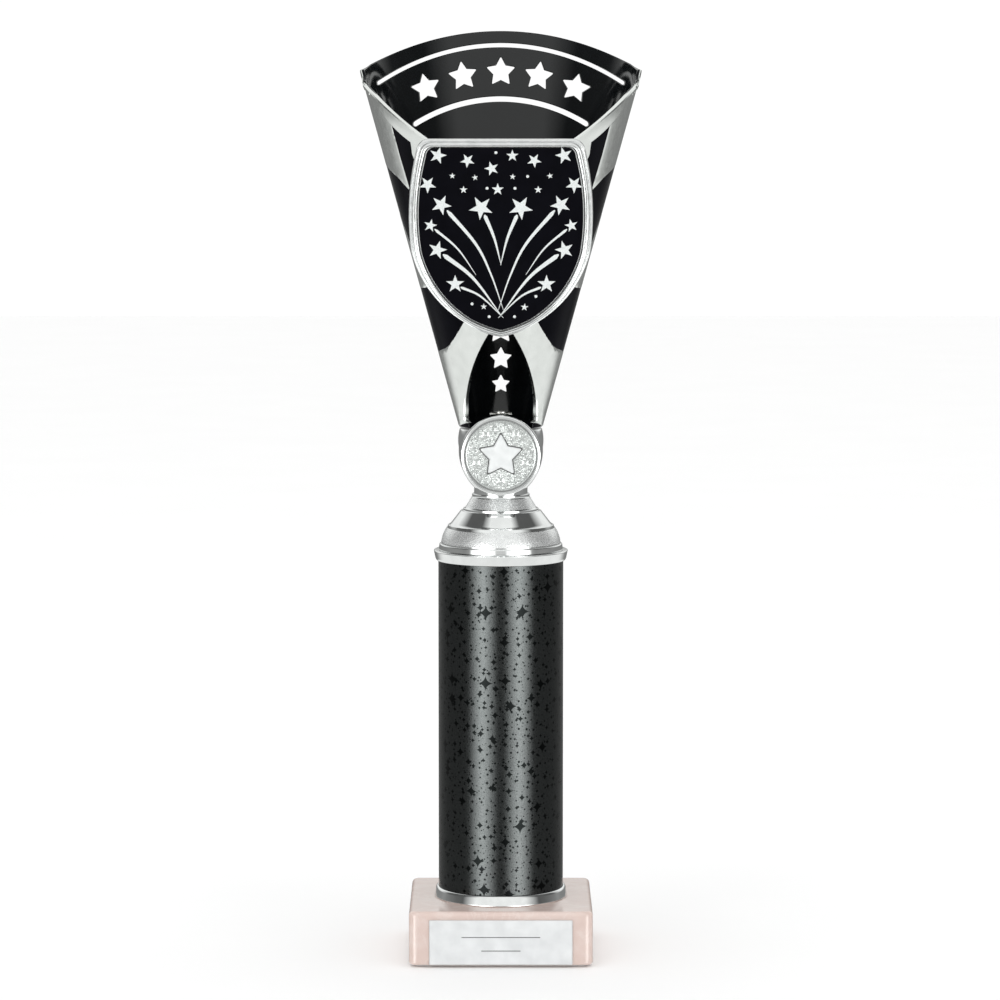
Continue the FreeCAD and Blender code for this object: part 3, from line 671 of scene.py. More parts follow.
def make_disc():
    """The centre disc: pebbled field, a thin rim, a large smooth star ringed by a dark star of
    painted shade, and five small ones.
    """
    low, high = (-corner for corner in (box_mm("centre_disc")[1].y, box_mm("centre_disc")[0].y))
    field, top = high - 0.5, high
    rng = np.random.default_rng(7)
    radii = np.concatenate([np.linspace(0.4, 11.75, 66), [11.85, 12.0, 12.15, 12.35, 12.45, 12.5]])
    turns = 420
    points, faces = [(0.0, 0.0, field)], []
    for radius in radii:
        for turn in range(turns):
            angle = 2 * math.pi * turn / turns
            x, y = radius * math.sin(angle), radius * math.cos(angle)
            if radius < 11.8:
                cells = noise.voronoi(Vector((x, y, 0.0)) / 0.62)[0]
                rise = 0.22 * min(cells[1] - cells[0], 0.7) - 0.16 + 0.02 * rng.random()
            else:
                rise = {11.85: 0.0, 12.0: 0.12, 12.15: 0.16, 12.35: 0.14, 12.45: 0.05,
                        12.5: -0.1}[round(float(radius), 2)]
            points.append((x, y, field + rise))
    rings = len(radii)
    for turn in range(turns):
        after = (turn + 1) % turns
        faces.append((0, 1 + turn, 1 + after))
        for ring in range(rings - 1):
            a, b = 1 + ring * turns, 1 + (ring + 1) * turns
            faces.append((a + turn, b + turn, b + after, a + after))
    last = 1 + (rings - 1) * turns
    back = len(points)
    points += [(12.5 * math.sin(2 * math.pi * k / turns), 12.5 * math.cos(2 * math.pi * k / turns),
                low) for k in range(turns)]
    for turn in range(turns):
        after = (turn + 1) % turns
        faces.append((last + turn, back + turn, back + after, last + after))
    faces.append(tuple(range(back, back + turns)))
    parts = [([facing(*point) for point in points], faces)]
    for index in range(5):
        angle = math.radians(126 + 72 * index)
        x, y = 9.1 * math.cos(angle), 9.1 * math.sin(angle)
        parts.append(raised_star(2.15, 0.5, x, y, 72.0 * index + 36.0, field - 0.2, field + 0.16,
                                 0.5, facing, 0.15))
        dot = lathe([(0.0, field), (0.42, field), (0.42, field + 0.22), (0.3, field + 0.32),
                     (0.0, field + 0.36)], 16, frame_of=lambda a, b, c, x=x, y=y: facing(
                         a + x, b + y, c))
        parts.append(dot)
    add_piece("pebbled_disc", *join(*parts), DISC_SILVER, "disc_silver", ["centre_disc"],
              sharp=38)
    star = raised_star(8.2, 0.52, 0.0, 0.0, 0.0, field - 0.2, top, 0.35, facing, 0.7)
    add_piece("disc_star", *star, STAR_SILVER, "disc_silver", ["centre_disc"], sharp=38)
    # Painted shade: a slightly larger dark grey star under the large one, whose rim stands for the
    # shadow round its edge.
    outline = raised_star(8.75, 0.53, 0.0, 0.0, 0.0, field - 0.2, field + 0.16, 0.2, facing, 0.7)
    add_piece("disc_star_outline", *outline, DISC_PAINTED_SHADE, "disc_silver", ["centre_disc"],
              sharp=38)


def raised_star(radius, ratio, x, y, tilt, low, high, bevel, mapping, tip_round=0.3):
    """A solid star between two heights, with a bevel round its top edge."""
    loop = star_points(radius, ratio, x, y, tilt, tip_round)
    loop = [tuple(point) for point in trace(loop, 0.35, closed=True)]
    flat, triangles = fill([loop], 0.5, (bevel,))
    drop = np.clip(1.0 - edge_distance(flat, [loop]) / bevel, 0.0, 1.0) * 0.6 * (high - low)
    return thicken(flat, triangles,
                   lambda k: mapping(flat[k][0], flat[k][1], high - drop[k]),
                   lambda k: mapping(flat[k][0], flat[k][1], low))


make_holder()
make_disc()


# ---------------------------------------------------------------- engraving plate

def make_plate():
    """Thin plate with a bevelled edge and two fine engraved rules."""
    low, high = box_mm("engraving_plate")
    middle = (low.z + high.z) / 2
    half_length, half_height = (high.x - low.x) / 2, (high.z - low.z) / 2
    back, front, edge = high.y, low.y, 0.28
    loop = rounded([(-half_length, -half_height, 0.35), (half_length, -half_height, 0.35),
                    (half_length, half_height, 0.35), (-half_length, half_height, 0.35)])
    loop = trace(loop, 1.0, closed=True)
    flat, triangles = fill([loop], 1.2, (edge,))
    drop = np.clip(1.0 - edge_distance(flat, [loop]) / edge, 0.0, 1.0) * 0.22
    points, faces = thicken(flat, triangles,
                            lambda k: (flat[k][0], front + drop[k], middle + flat[k][1]),
                            lambda k: (flat[k][0], back, middle + flat[k][1]))
    add_piece("bevelled_plate", points, faces, PLATE_SILVER,
              "plate_silver", ["engraving_plate"])
    parts = []
    for level, half in ((1.9, 14.0), (-3.0, 7.0)):
        line = rounded([(-half, -0.16, 0.15), (half, -0.16, 0.15), (half, 0.16, 0.15),
                        (-half, 0.16, 0.15)], 3)
        flat_line, sides = fill([trace(line, 1.0, closed=True)], 0.8)
        parts.append(thicken(
            flat_line, sides,
            lambda k, pts=flat_line, up=level: (pts[k][0], front - 0.015, middle + up + pts[k][1]),
            lambda k, pts=flat_line, up=level: (pts[k][0], front + 0.2, middle + up + pts[k][1])))
    add_piece("engraved_rules", *join(*parts), ENGRAVED, "plate_silver", ["engraving_plate"])


make_plate()


# ---------------------------------------------------------------- cup

FOOT_RADIUS, SLOPE, WALL = 15.0, 0.2767, 1.6
RIM_CURVE, RIM_APEX, LEAF_HEIGHT = 95.0, 141.5, 0.6
CONE_SINE = math.sin(math.atan(SLOPE))
LEAF_INNER = [(58.5, 134.5), (26.6, 103.4, 120.0, -1), (23.0, 98.5, 9.0, 1), (4.0, 38.5),
              (4.6, 34.5, 6.0, 1), (12.75, 7.6, 54.0, -1), (12.75, 3.4), (11.4, 1.8, 1.7, -1)]
LEAF_OUTER = [(14.2, 0.8), (14.4, 10.1), (18.25, 28.9, 130.0, -1), (12.7, 39.5), (20.5, 72.0),
              (30.9, 97.8), (31.4, 101.9), (45.2, 117.4, 47.0, 1)]
BACK_STARS = [(0.0, 126.5, 0.0), (13.9, 125.0, 8.0), (27.3, 120.7, 14.0)]
TRAIL_STARS = [(33.3, 5.3), (22.9, 4.3), (13.8, 3.55)]


def reach_at(height):
    """Outer radius of the cup at a height above its foot."""
    return FOOT_RADIUS + SLOPE * height


def rim_at(x):
    """Height of the arched rim above the foot, where it stands at x."""
    return RIM_APEX - RIM_CURVE + math.sqrt(RIM_CURVE ** 2 - x ** 2)


def unroll(angle, height):
    """A point of the cone, angle in radians from the front, laid out flat at true size."""
    slant, turn = reach_at(height) / CONE_SINE, (angle - math.pi) * CONE_SINE
    return slant * math.sin(turn), -slant * math.cos(turn)


def roll_up(point):
    """The angle and height on the cone of a flat point."""
    slant = math.hypot(point[0], point[1])
    angle = math.pi + math.atan2(point[0], -point[1]) / CONE_SINE
    return angle, (slant * CONE_SINE - FOOT_RADIUS) / SLOPE


def front_angle(x, height):
    """Angle from the front of the wall point that stands at x on the front half."""
    return math.asin(max(-1.0, min(1.0, x / reach_at(height))))


def rim_point(angle):
    """Height of the rim at an angle round the cone."""
    height = 130.0
    for _ in range(30):
        height = rim_at(reach_at(height) * math.sin(angle))
    return height


def leaf_edge():
    """The leaf's inner edge on the right side, as (angle, height) from the rim to the foot."""
    path, kept = trace(LEAF_INNER, 0.7), []
    for x, height in path:
        if x < reach_at(height) and height < rim_at(x):
            kept.append((front_angle(x, height), height))
    side = [(math.radians(angle), height) for angle, height in (
        (94.8, 126.4), (94.3, 125.4), (93.4, 124.5), (92.0, 123.7), (90.4, 123.1))]
    return [(math.radians(95.0), rim_point(math.radians(95.0)))] + side + kept


def slot_loop(apex, end_x, end_height, width):
    """Outline of an arched slot with round ends, in (x, height)."""
    sag = apex - end_height
    radius = (end_x ** 2 + sag ** 2) / (2 * sag)
    centre = apex - radius
    half = math.asin(end_x / radius)
    loop = []
    steps = round(2 * half * radius / 0.9)
    for side, order in ((0.5, range(steps + 1)), (-0.5, range(steps, -1, -1))):
        for k in order:
            angle = -half + 2 * half * k / steps
            ring = radius + side * width
            loop.append((ring * math.sin(angle), centre + ring * math.cos(angle)))
        tip = half if side > 0 else -half
        for k in range(1, 6):
            turn = math.pi * k / 6
            out = width / 2 * math.sin(turn) * (1 if side > 0 else -1)
            ring = radius + side * width * math.cos(turn)
            loop.append((ring * math.sin(tip) + out * math.cos(tip),
                         centre + ring * math.cos(tip) - out * math.sin(tip)))
    return loop


def back_loop(loop, step=0.45):
    """A pierced outline seen from the front, put on the back of the unrolled cone."""
    path = trace([tuple(point) for point in loop], step, closed=True)
    return [unroll(math.pi - front_angle(x, height), height) for x, height in path]


def cup_openings():
    """Every piercing of the back wall, unrolled."""
    shapes = [slot_loop(136.3, 44.0, 122.6, 1.5), slot_loop(116.6, 31.0, 107.7, 1.9)]
    for x, height, lean in BACK_STARS:
        for side in (1, -1) if x else (1,):
            shapes.append(star_points(5.6, 0.52, side * x, height, -side * lean, 0.35))
    for height, radius in TRAIL_STARS:
        shapes.append(star_points(radius, 0.52, 0.0, height, 0.0, 0.3))
    return [back_loop(shape) for shape in shapes]


def smooth_step(low, high, value):
    """0 below low, 1 above high and an S curve between."""
    share = min(max((value - low) / (high - low), 0.0), 1.0)
    return share * share * (3 - 2 * share)


def inner_angle(angle, height):
    """Angle of the inner surface under a point of the outer one. On the back it keeps the
    same x, since the piercings run straight forward; elsewhere it keeps the same angle."""
    off = angle - math.pi
    room = math.radians(20 + 46 * smooth_step(40, 100, height))
    held = min(abs(off), room)
    reach = reach_at(height)
    extra = math.asin(min(1.0, math.sin(held) * reach / (reach - WALL))) - held
    if abs(off) > room:
        extra *= 1.0 - smooth_step(room, room + math.radians(54), abs(off))
    return math.pi + math.copysign(abs(off) + extra, off)


def on_cone(angle, height, stand=0.0):
    """The place in space of a point of the cone, stand outside its surface."""
    reach = reach_at(height) + stand
    return reach * math.sin(angle), -reach * math.cos(angle), CUP_FOOT + height


def shade_cone(piece):
    """Gives the conical faces the exact normals of the cone, so that reflections run clean."""
    mesh = piece.data
    mesh.update()
    rise = SLOPE / math.sqrt(1 + SLOPE ** 2)
    level = 1 / math.sqrt(1 + SLOPE ** 2)
    normals = [Vector(item.vector) for item in mesh.corner_normals]
    for polygon in mesh.polygons:
        flat = Vector(polygon.center.xy).normalized()
        outward = Vector((flat.x * level, flat.y * level, -rise))
        facing_out = polygon.normal.dot(outward)
        if abs(facing_out) < math.cos(math.radians(12)):
            continue
        for index in polygon.loop_indices:
            place_at = mesh.vertices[mesh.loops[index].vertex_index].co.xy.normalized()
            normals[index] = Vector((place_at.x * level, place_at.y * level, -rise)) * (
                1 if facing_out > 0 else -1)
    mesh.normals_split_custom_set(normals)


INNER_EDGE = leaf_edge()


def make_hood():
    """The black conical wall, its floor and every piercing."""
    right = INNER_EDGE + [(front_angle(11.4, 1.0), 1.0), (front_angle(11.4, 0.0), 0.0)]
    start = right[0][0]
    span = 2 * math.pi - 2 * start
    steps = 260
    loop = [(start + span * k / steps, rim_point(start + span * k / steps))
            for k in range(steps + 1)]
    loop += [(2 * math.pi - angle, height) for angle, height in right[1:]]
    foot_angle = right[-1][0]
    foot_steps = 90
    foot_span = 2 * math.pi - 2 * foot_angle
    loop += [(2 * math.pi - foot_angle - foot_span * k / foot_steps, 0.0)
             for k in range(1, foot_steps)]
    loop += right[:0:-1]
    outline = [unroll(angle, height) for angle, height in loop]
    loops = [outline] + cup_openings()
    edge = 0.28
    flat, triangles = fill(loops, 1.7, (edge,))
    round_off = np.clip(1.0 - edge_distance(flat, loops) / edge, 0.0, 1.0) * 0.22
    rolled = [roll_up(point) for point in flat]

    def outer(k):
        return on_cone(*rolled[k], -round_off[k])

    def inner(k):
        angle, height = rolled[k]
        return on_cone(inner_angle(angle, height), height, round_off[k] - WALL)

    wall = thicken(flat, triangles, outer, inner)
    rim = [(13.5 * math.sin(t), -13.5 * math.cos(t)) for t in np.linspace(0, 2 * math.pi, 121)
           if 13.5 * math.cos(t) < 9.7][:-1]
    hole = [(2.65 * math.sin(t), 2.65 * math.cos(t)) for t in np.linspace(0, 2 * math.pi, 33)][:-1]
    base, sides = fill([rim, hole], 1.5)
    floor = thicken(base, sides, lambda k: (base[k][0], base[k][1], CUP_FOOT + 1.8),
                    lambda k: (base[k][0], base[k][1], CUP_FOOT + 0.02))
    hood = add_piece("black_hood", *join(wall, floor), BLACK, "cup_black", ["cup_hood"], sharp=35)
    shade_cone(hood)
    hood.data.materials.append(BLACK_OUTSIDE)
    for polygon in hood.data.polygons:
        if polygon.normal.xy.dot(polygon.center.xy.normalized()) > 0.8:
            polygon.material_index = 1


def cone_band(loop, thickness, bevel, crown=0.0, depth=0.4):
    """A raised or inlaid area of the outside of the cup: loop is (angle, height) pairs."""
    outline = [unroll(angle, height) for angle, height in loop]
    flat, triangles = fill([outline], 1.3, (bevel,))
    distance = edge_distance(flat, [outline])
    lift = np.clip(distance / bevel, 0.0, 1.0) * (thickness - crown)
    lift += crown * (1.0 - (1.0 - np.clip(distance / 4.0, 0.0, 1.0)) ** 2)
    rolled = [roll_up(point) for point in flat]
    points, faces = thicken(flat, triangles, lambda k: on_cone(*rolled[k], lift[k]),
                            lambda k: on_cone(*rolled[k], -depth))
    return points, faces


def both_sides(loop):
    """The loop on the right side and its mirror image on the left."""
    return loop, [(2 * math.pi - angle, height) for angle, height in loop]


def grow(path, distance):
    """A flat path moved sideways by a distance."""
    a = np.asarray(path, float)
    ahead = np.gradient(a, axis=0)
    normal = np.stack([-ahead[:, 1], ahead[:, 0]], 1)
    normal /= np.maximum(np.linalg.norm(normal, axis=1, keepdims=True), 1e-9)
    return [tuple(point) for point in a + normal * distance]


def leaf_loop():
    """Outline of the right-hand leaf, wrapping a little past the side at the rim."""
    inner = [unroll(angle, height) for angle, height in INNER_EDGE]
    inner = [roll_up(point) for point in grow(inner, 0.16)]
    outer = [(front_angle(x, height), height) for x, height in trace(LEAF_OUTER, 0.8)
             if x < reach_at(height) * 0.985]
    side = [(math.radians(angle), height) for angle, height in (
        (75.5, 118.3), (79.0, 119.0), (84.0, 119.8), (90.0, 120.7), (93.0, 121.5),
        (95.6, 122.7), (97.3, 124.1), (98.3, 125.6))]
    side += [(math.radians(98.7), rim_point(math.radians(98.7)))]
    last = side[-1][0]
    rim = [(last + (inner[0][0] - last) * k / 5, rim_point(last + (inner[0][0] - last) * k / 5))
           for k in range(1, 5)]
    return outer + side + rim + inner


def make_leaves():
    """The two raised silver leaves along the front opening."""
    parts = [cone_band(loop, LEAF_HEIGHT, 0.3, 0.15, depth=1.5)
             for loop in both_sides(leaf_loop())]
    add_piece("raised_leaves", *join(*parts), LEAF_SILVER, "plated_silver", ["cup_hood"],
              sharp=28)


def wrapped(front_path):
    """A path on the front half followed by its mirror image on the back half."""
    return front_path + [(180.0 - angle, height) for angle, height in front_path[::-1]]


def dense(path, step=1.5):
    """Extra points along a chain of (degrees, height) corners, as (radians, height)."""
    result = []
    for (a, h), (b, k) in zip(path, path[1:] + path[:1]):
        length = math.hypot(math.radians(b - a) * reach_at((h + k) / 2), k - h)
        count = max(1, round(length / step))
        result += [(math.radians(a + (b - a) * i / count), h + (k - h) * i / count)
                   for i in range(count)]
    return result


def make_panels():
    """The silver-plated areas on the outside of the black wall."""
    upper = wrapped([(58.8, 108.4), (62.0, 111.0), (67.6, 114.0), (74.7, 118.2), (81.0, 122.0),
                     (88.0, 123.6)])
    upper += wrapped([(56.2, 85.9), (56.9, 85.3), (65.7, 89.3), (74.0, 91.4), (82.1, 92.9),
                      (88.0, 93.4)])[::-1]
    upper += [(58.0, 97.0)]
    middle = wrapped([(50.5, 55.0), (56.0, 58.5), (64.0, 61.5), (71.0, 64.0), (77.0, 67.0),
                      (80.0, 71.0), (84.0, 74.5), (88.0, 76.0)])
    middle += wrapped([(50.5, 53.0), (54.5, 51.4), (59.3, 51.0), (69.0, 50.2), (79.1, 49.9),
                       (88.0, 49.8)])[::-1]
    lower = wrapped([(29.8, 39.2), (35.3, 36.1), (42.7, 32.9), (51.7, 30.0), (59.2, 28.7),
                     (77.2, 27.3), (88.0, 26.8)])
    crease = [(math.degrees(front_angle(x, height)), height)
              for x, height in trace(LEAF_OUTER[:4], 2.0)]
    lower += [(180.0 - angle, height) for angle, height in crease[::-1][1:-1]]
    lower += [(180.0 - crease[0][0], 0.3)] + [(angle, 0.3) for angle in range(108, 72, -6)]
    lower += crease[:-1]
    parts = []
    for path in (upper, middle, lower):
        for loop in both_sides(dense(path)):
            parts.append(cone_band(loop, 0.06, 0.15))
    add_piece("silver_panels", *join(*parts), LEAF_SILVER, "plated_silver", ["cup_hood"],
              sharp=40)


make_hood()
make_leaves()
make_panels()


# ---------------------------------------------------------------- shield

SHIELD_TILT = math.radians(9.6)
SHIELD_Y, SHIELD_Z = -26.6, 225.0
SHIELD_OUTER = [(0.0, 70.1), (24.6, 70.1), (29.3, 66.8, 4.6, -1), (31.3, 30.3, 100.0, -1),
                (12.0, 4.7, 41.0, -1), (0.0, 0.0, 26.0, -1)]
SHIELD_INNER = [(0.0, 67.5), (23.8, 67.5), (26.3, 64.4, 3.2, -1), (28.0, 30.2, 84.0, -1),
                (10.4, 5.9, 40.0, -1), (0.0, 1.9, 45.0, -1)]


def on_shield(x, forward, up):
    """The place in space of a point of the tilted shield: across, forward and up its face."""
    return (x, SHIELD_Y - forward * math.cos(SHIELD_TILT) - up * math.sin(SHIELD_TILT),
            SHIELD_Z - forward * math.sin(SHIELD_TILT) + up * math.cos(SHIELD_TILT))


def shield_loop(chain):
    """A whole symmetrical outline from its right half."""
    right = trace(chain, 0.25)
    return right + [(-x, y) for x, y in right[-2:0:-1]]


def spokes(loop, count=720, middle=(0.0, 38.0)):
    """Where rays at even angles from the middle meet an outline."""
    a = np.asarray(loop, float) - middle
    angles = np.unwrap(np.arctan2(a[:, 1], a[:, 0]))
    if angles[-1] < angles[0]:
        angles, a = angles[::-1], a[::-1]
    reach = np.hypot(a[:, 0], a[:, 1])
    wanted = -math.pi / 2 + np.arange(count) * 2 * math.pi / count
    start = angles[0]
    found = np.interp((wanted - start) % (2 * math.pi) + start,
                      np.append(angles, angles[0] + 2 * math.pi), np.append(reach, reach[0]))
    return np.stack([np.cos(wanted) * found + middle[0], np.sin(wanted) * found + middle[1]], 1)


def make_shield_frame():
    """The silver tray: a moulded rim of several lines, a thin back and four pegs."""
    outer, inner = spokes(shield_loop(SHIELD_OUTER)), spokes(shield_loop(SHIELD_INNER))
    rim = [(0.0, 0.0), (0.0, 2.3), (0.03, 2.55), (0.10, 2.7), (0.19, 2.66), (0.24, 2.5),
           (0.30, 2.62), (0.36, 3.1), (0.44, 3.45), (0.54, 3.6), (0.64, 3.5), (0.71, 3.2),
           (0.75, 3.02), (0.80, 3.08), (0.86, 2.98), (0.93, 2.5), (1.0, 2.0), (1.0, 0.0)]
    count, sides = len(outer), len(rim)
    points = [on_shield(*(outer[k] + (inner[k] - outer[k]) * share)[:1], forward,
                        float((outer[k] + (inner[k] - outer[k]) * share)[1]))
              for k in range(count) for share, forward in rim]
    faces = [(k * sides + i, k * sides + (i + 1) % sides,
              (k + 1) % count * sides + (i + 1) % sides, (k + 1) % count * sides + i)
             for k in range(count) for i in range(sides)]
    grown = [tuple(inner[k] + (outer[k] - inner[k]) * 0.1) for k in range(0, count, 4)]
    flat, triangles = fill([grown], 4.0)
    back = thicken(flat, triangles, lambda k: on_shield(flat[k][0], 1.0, flat[k][1]),
                   lambda k: on_shield(flat[k][0], 0.02, flat[k][1]))
    parts = [(points, faces), back]
    for x, up in ((17.5, 37.5), (24.5, 61.0)):
        for side in (1, -1):
            peg = lathe([(0.0, 0.5), (1.9, 0.5), (1.7, -0.6), (1.6, -1.0), (1.6, -6.2),
                         (1.3, -6.5), (0.0, -6.5)], 32,
                        frame_of=lambda a, b, c, x=side * x, up=up: on_shield(x + a, c, up + b))
            parts.append(peg)
    add_piece("moulded_shield_frame", *join(*parts), FRAME_SILVER, "plated_silver", ["shield_frame"],
              sharp=32)


RAY_HEADS = [(20.8, 47.0, 3.7, -25), (6.9, 46.0, 4.35, 30), (24.6, 39.7, 2.4, -13),
             (22.2, 31.0, 3.4, -16), (16.0, 18.8, 3.3, 0)]
PAIRED_STARS = [(21.9, 64.5, 3.1, -16), (11.6, 62.7, 2.6, 30), (25.5, 54.2, 3.1, 36),
                (13.0, 52.4, 1.4, 0)]
SINGLE_STARS = [(4.0, 64.4, 2.2, 0), (-3.2, 59.9, 2.6, 17), (-16.9, 57.3, 1.1, 0),
                (-9.0, 56.7, 1.1, 8), (4.1, 57.0, 1.1, -6), (17.1, 57.3, 1.1, 10),
                (-1.1, 52.5, 2.2, 0), (-6.0, 10.7, 1.15, 0), (8.3, 10.5, 1.4, -6)]
DOTS = [(-1.7, 65.5), (9.3, 57.1), (-4.8, 52.9), (4.9, 52.9), (-10.1, 11.7), (-4.1, 7.1),
        (4.8, 7.1), (12.3, 14.4)]
RAYS = [([(18.8, 45.1), (8.7, 33.0), (3.4, 22.1), (-0.9, 9.5)], 1.25),
        ([(5.7, 43.5), (2.3, 35.2), (-0.1, 25.6)], 1.25),
        ([(23.1, 38.4), (15.1, 31.4), (8.7, 22.1)], 0.8),
        ([(20.2, 29.4), (9.8, 21.0), (-0.4, 7.2)], 1.5),
        ([(14.1, 17.7), (7.1, 14.4), (-0.9, 6.7)], 0.8)]
PRINT_FACE = 1.86


def ray_strip(path, width):
    """A curved ray, wide and round at its star and tapering to a hair at its end."""
    knots = [Vector(point) for point in path]
    knots = [2 * knots[0] - knots[1]] + knots + [2 * knots[-1] - knots[-2]]
    line = []
    for a, b, c, d in zip(knots, knots[1:], knots[2:], knots[3:]):
        for step in range(10):
            t = step / 10
            line.append(0.5 * (2 * b + (c - a) * t + (2 * a - 5 * b + 4 * c - d) * t * t
                               + (3 * b - a - 3 * c + d) * t ** 3))
    line.append(knots[-2])
    lengths = [0.0]
    for before, after in zip(line, line[1:]):
        lengths.append(lengths[-1] + (after - before).length)
    points = []
    for index, (point, run) in enumerate(zip(line, lengths)):
        ahead = (line[min(index + 1, len(line) - 1)] - line[max(index - 1, 0)]).normalized()
        across = Vector((-ahead.y, ahead.x))
        half = width / 2 * (1 - run / lengths[-1]) ** 0.9 + 0.07
        half *= math.sqrt(min(1.0, (run + 0.08) / (width * 0.7)))
        for side in (half, -half):
            for forward in (PRINT_FACE, PRINT_FACE - 0.12):
                place_at = point + across * side
                points.append(on_shield(place_at.x, forward, place_at.y))
    faces = [(0, 1, 3, 2)]
    for k in range(len(line) - 1):
        a, b = 4 * k, 4 * k + 4
        faces += [(a, b, b + 1, a + 1), (a + 2, a + 3, b + 3, b + 2), (a, a + 2, b + 2, b),
                  (a + 1, b + 1, b + 3, a + 3)]
    end = 4 * (len(line) - 1)
    return points, faces + [(end, end + 2, end + 3, end + 1)]


def flat_star(x, y, radius, tilt, lift):
    """A printed star: a thin solid with its ten corners."""
    loop = star_points(radius, 0.40, x, y, tilt)
    loop = trace([tuple(point) for point in loop], 0.6, closed=True)
    flat, triangles = fill([loop], 0.7)
    return thicken(flat, triangles,
                   lambda k: on_shield(flat[k][0], PRINT_FACE + lift, flat[k][1]),
                   lambda k: on_shield(flat[k][0], PRINT_FACE - 0.12, flat[k][1]))


def make_insert():
    """The black insert with its printed stars, rays and dots."""
    loop = [(x * 0.99, 35.0 + (y - 35.0) * 0.99) for x, y in shield_loop(SHIELD_INNER)[::3]]
    flat, triangles = fill([loop], 3.0)
    plate = thicken(flat, triangles, lambda k: on_shield(flat[k][0], 1.8, flat[k][1]),
                    lambda k: on_shield(flat[k][0], 1.2, flat[k][1]))
    add_piece("insert_plate", *plate, PRINT_BLACK, "insert_print", ["shield_insert"])
    parts = []
    for side in (-1, 1):
        for x, y, radius, tilt in RAY_HEADS + PAIRED_STARS:
            parts.append(flat_star(side * x, y, radius, -side * tilt, 0.01))
        for path, width in RAYS:
            parts.append(ray_strip([(side * x, y) for x, y in path], width))
    parts += [flat_star(x, y, radius, tilt, 0.01) for x, y, radius, tilt in SINGLE_STARS]
    for x, y in DOTS:
        dot = lathe([(0.0, PRINT_FACE), (0.45, PRINT_FACE), (0.52, PRINT_FACE - 0.02),
                     (0.52, 1.74), (0.0, 1.74)], 20,
                    frame_of=lambda a, b, c, x=x, y=y: on_shield(x + a, c, y + b))
        parts.append(dot)
    add_piece("insert_stars_and_rays", *join(*parts), PRINT_SILVER, "insert_print",
              ["shield_insert"])


make_shield_frame()
make_insert()


# ---------------------------------------------------------------- floor, light and camera

def make_floor():
    """A plain pale floor that runs far back."""
    mesh = bpy.data.meshes.new("studio_floor")
    mesh.from_pydata([(-4, -4, 0), (4, -4, 0), (4, 4, 0), (-4, 4, 0)], [], [(0, 1, 2, 3)])
    material, nodes, links, shader = new_material("pale_floor")
    tone = ramp(nodes, links, noise_tex(nodes, links, 12, 2.0),
                [(0.3, grey(0.975)), (0.7, grey(0.985))])
    links.new(tone, shader.inputs["Base Color"])
    set_shader(shader, Roughness=0.75, Specular_IOR_Level=0.2)
    mesh.materials.append(material)
    floor = bpy.data.objects.new("studio_floor", mesh)
    bpy.context.scene.collection.objects.link(floor)
    floor.visible_glossy = False


# The studio that reflections see, by the angle in degrees from the front: a pale floor, a dim
# room at eye level with one soft strip light on each side, and broad panels overhead in front
# and behind. Each entry fills one zone and fades into the next between its two heights, which
# run from straight down (-1) to straight up (1).
BACKGROUND_LEVEL = 1.03
STUDIO = [
    (-0.34, -0.22, [(-180, 0.85), (180, 0.85)]),
    (0.02, 0.22, [(-180, 0.2), (-60, 0.3), (-34, 8.0), (-8, 0.3), (0, 0.3), (8, 0.3), (34, 8.0),
                  (60, 0.3), (180, 0.2)]),
    (None, None, [(-180, 0.9), (-135, 0.9), (-110, 0.1), (-70, 0.1), (-45, 0.9), (45, 0.9),
                  (70, 0.1), (110, 0.1), (135, 0.9), (180, 0.9)])]


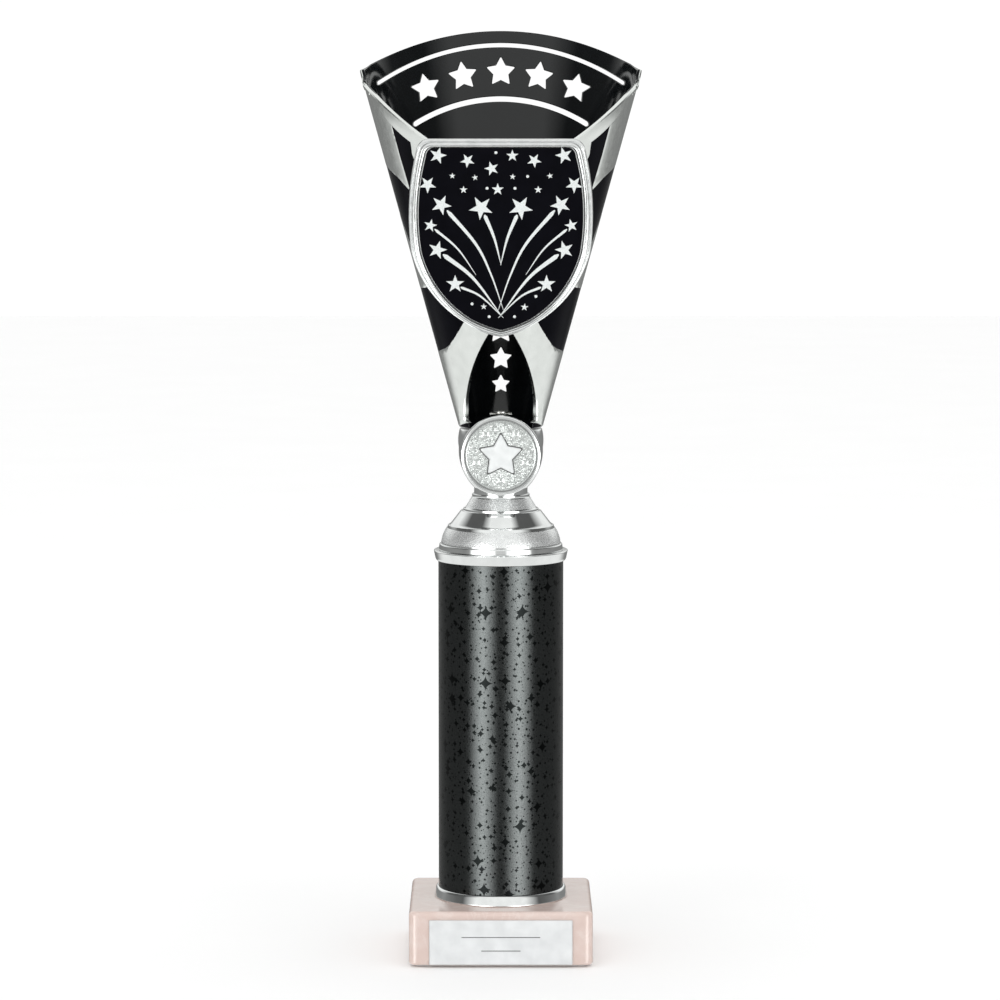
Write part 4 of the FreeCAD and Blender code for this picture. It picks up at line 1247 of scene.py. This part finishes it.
def make_world():
    """Plain white to the camera and to matt surfaces; reflections see the studio above."""
    world = bpy.data.worlds.new("studio")
    bpy.context.scene.world = world
    world.use_nodes = True
    nodes, links = world.node_tree.nodes, world.node_tree.links
    nodes.clear()
    split = nodes.new("ShaderNodeSeparateXYZ")
    links.new(nodes.new("ShaderNodeTexCoord").outputs["Generated"], split.inputs[0])
    back = math_node(nodes, links, "MULTIPLY", split.outputs["Y"], -1.0)
    around = math_node(nodes, links, "ARCTAN2", split.outputs["X"], back)
    share = math_node(nodes, links, "MULTIPLY_ADD", around, 0.5 / math.pi, 0.5)
    colour, climb = None, None
    for low, high, stops in STUDIO:
        ring = ramp(nodes, links, share, [(0.5 + angle / 360.0, (level, level * 1.015, level))
                                          for angle, level in stops])
        colour = mix_colours(nodes, links, climb, colour, ring) if colour else ring
        if low is not None:
            climb = spread(nodes, links, split.outputs["Z"], low, high, smooth=True)
    seen, plain = nodes.new("ShaderNodeBackground"), nodes.new("ShaderNodeBackground")
    links.new(colour, seen.inputs["Color"])
    plain.inputs["Color"].default_value = (1.0, 1.0, 1.0, 1.0)
    plain.inputs["Strength"].default_value = BACKGROUND_LEVEL
    path, blend = nodes.new("ShaderNodeLightPath"), nodes.new("ShaderNodeMixShader")
    direct = math_node(nodes, links, "MAXIMUM", path.outputs["Is Camera Ray"],
                       path.outputs["Is Diffuse Ray"])
    links.new(direct, blend.inputs[0])
    links.new(seen.outputs[0], blend.inputs[1])
    links.new(plain.outputs[0], blend.inputs[2])
    links.new(blend.outputs[0], nodes.new("ShaderNodeOutputWorld").inputs["Surface"])


def add_area(name, spot, target, size, power):
    """A soft rectangular light aimed at a point; it doesn't show in reflections."""
    light = bpy.data.lights.new(name, "AREA")
    light.shape, light.size, light.size_y, light.energy = "RECTANGLE", size[0], size[1], power
    lamp = bpy.data.objects.new(name, light)
    lamp.location = spot
    lamp.rotation_euler = (Vector(target) - Vector(spot)).to_track_quat("-Z", "Y").to_euler()
    lamp.visible_glossy = False
    bpy.context.scene.collection.objects.link(lamp)


make_floor()
make_world()
middle_height = (cad_low.z + cad_high.z) / 2
EYE, AIM = Vector((-0.0003, -1.503, 0.3167)), Vector((-0.0003, 0.0, 0.164))
add_area("key", (-0.9, -1.3, 1.2), (0, 0, middle_height), (0.8, 0.8), 1.6)
add_area("fill", (1.2, -1.1, 0.9), (0, 0, middle_height), (0.9, 0.9), 0.8)
add_area("top", (0, 0.1, 1.6), (0, 0, 0), (1.2, 1.2), 1.2)

camera = bpy.data.cameras.new("camera")
camera.lens, camera.sensor_width = 151.2, 36.0
camera.clip_start, camera.clip_end = 0.05, 20.0
eye = bpy.data.objects.new("camera", camera)
eye.location = EYE
eye.rotation_euler = (AIM - EYE).to_track_quat("-Z", "Y").to_euler()
bpy.context.scene.collection.objects.link(eye)
bpy.context.scene.camera = eye
bpy.context.scene.view_settings.view_transform = "Standard"
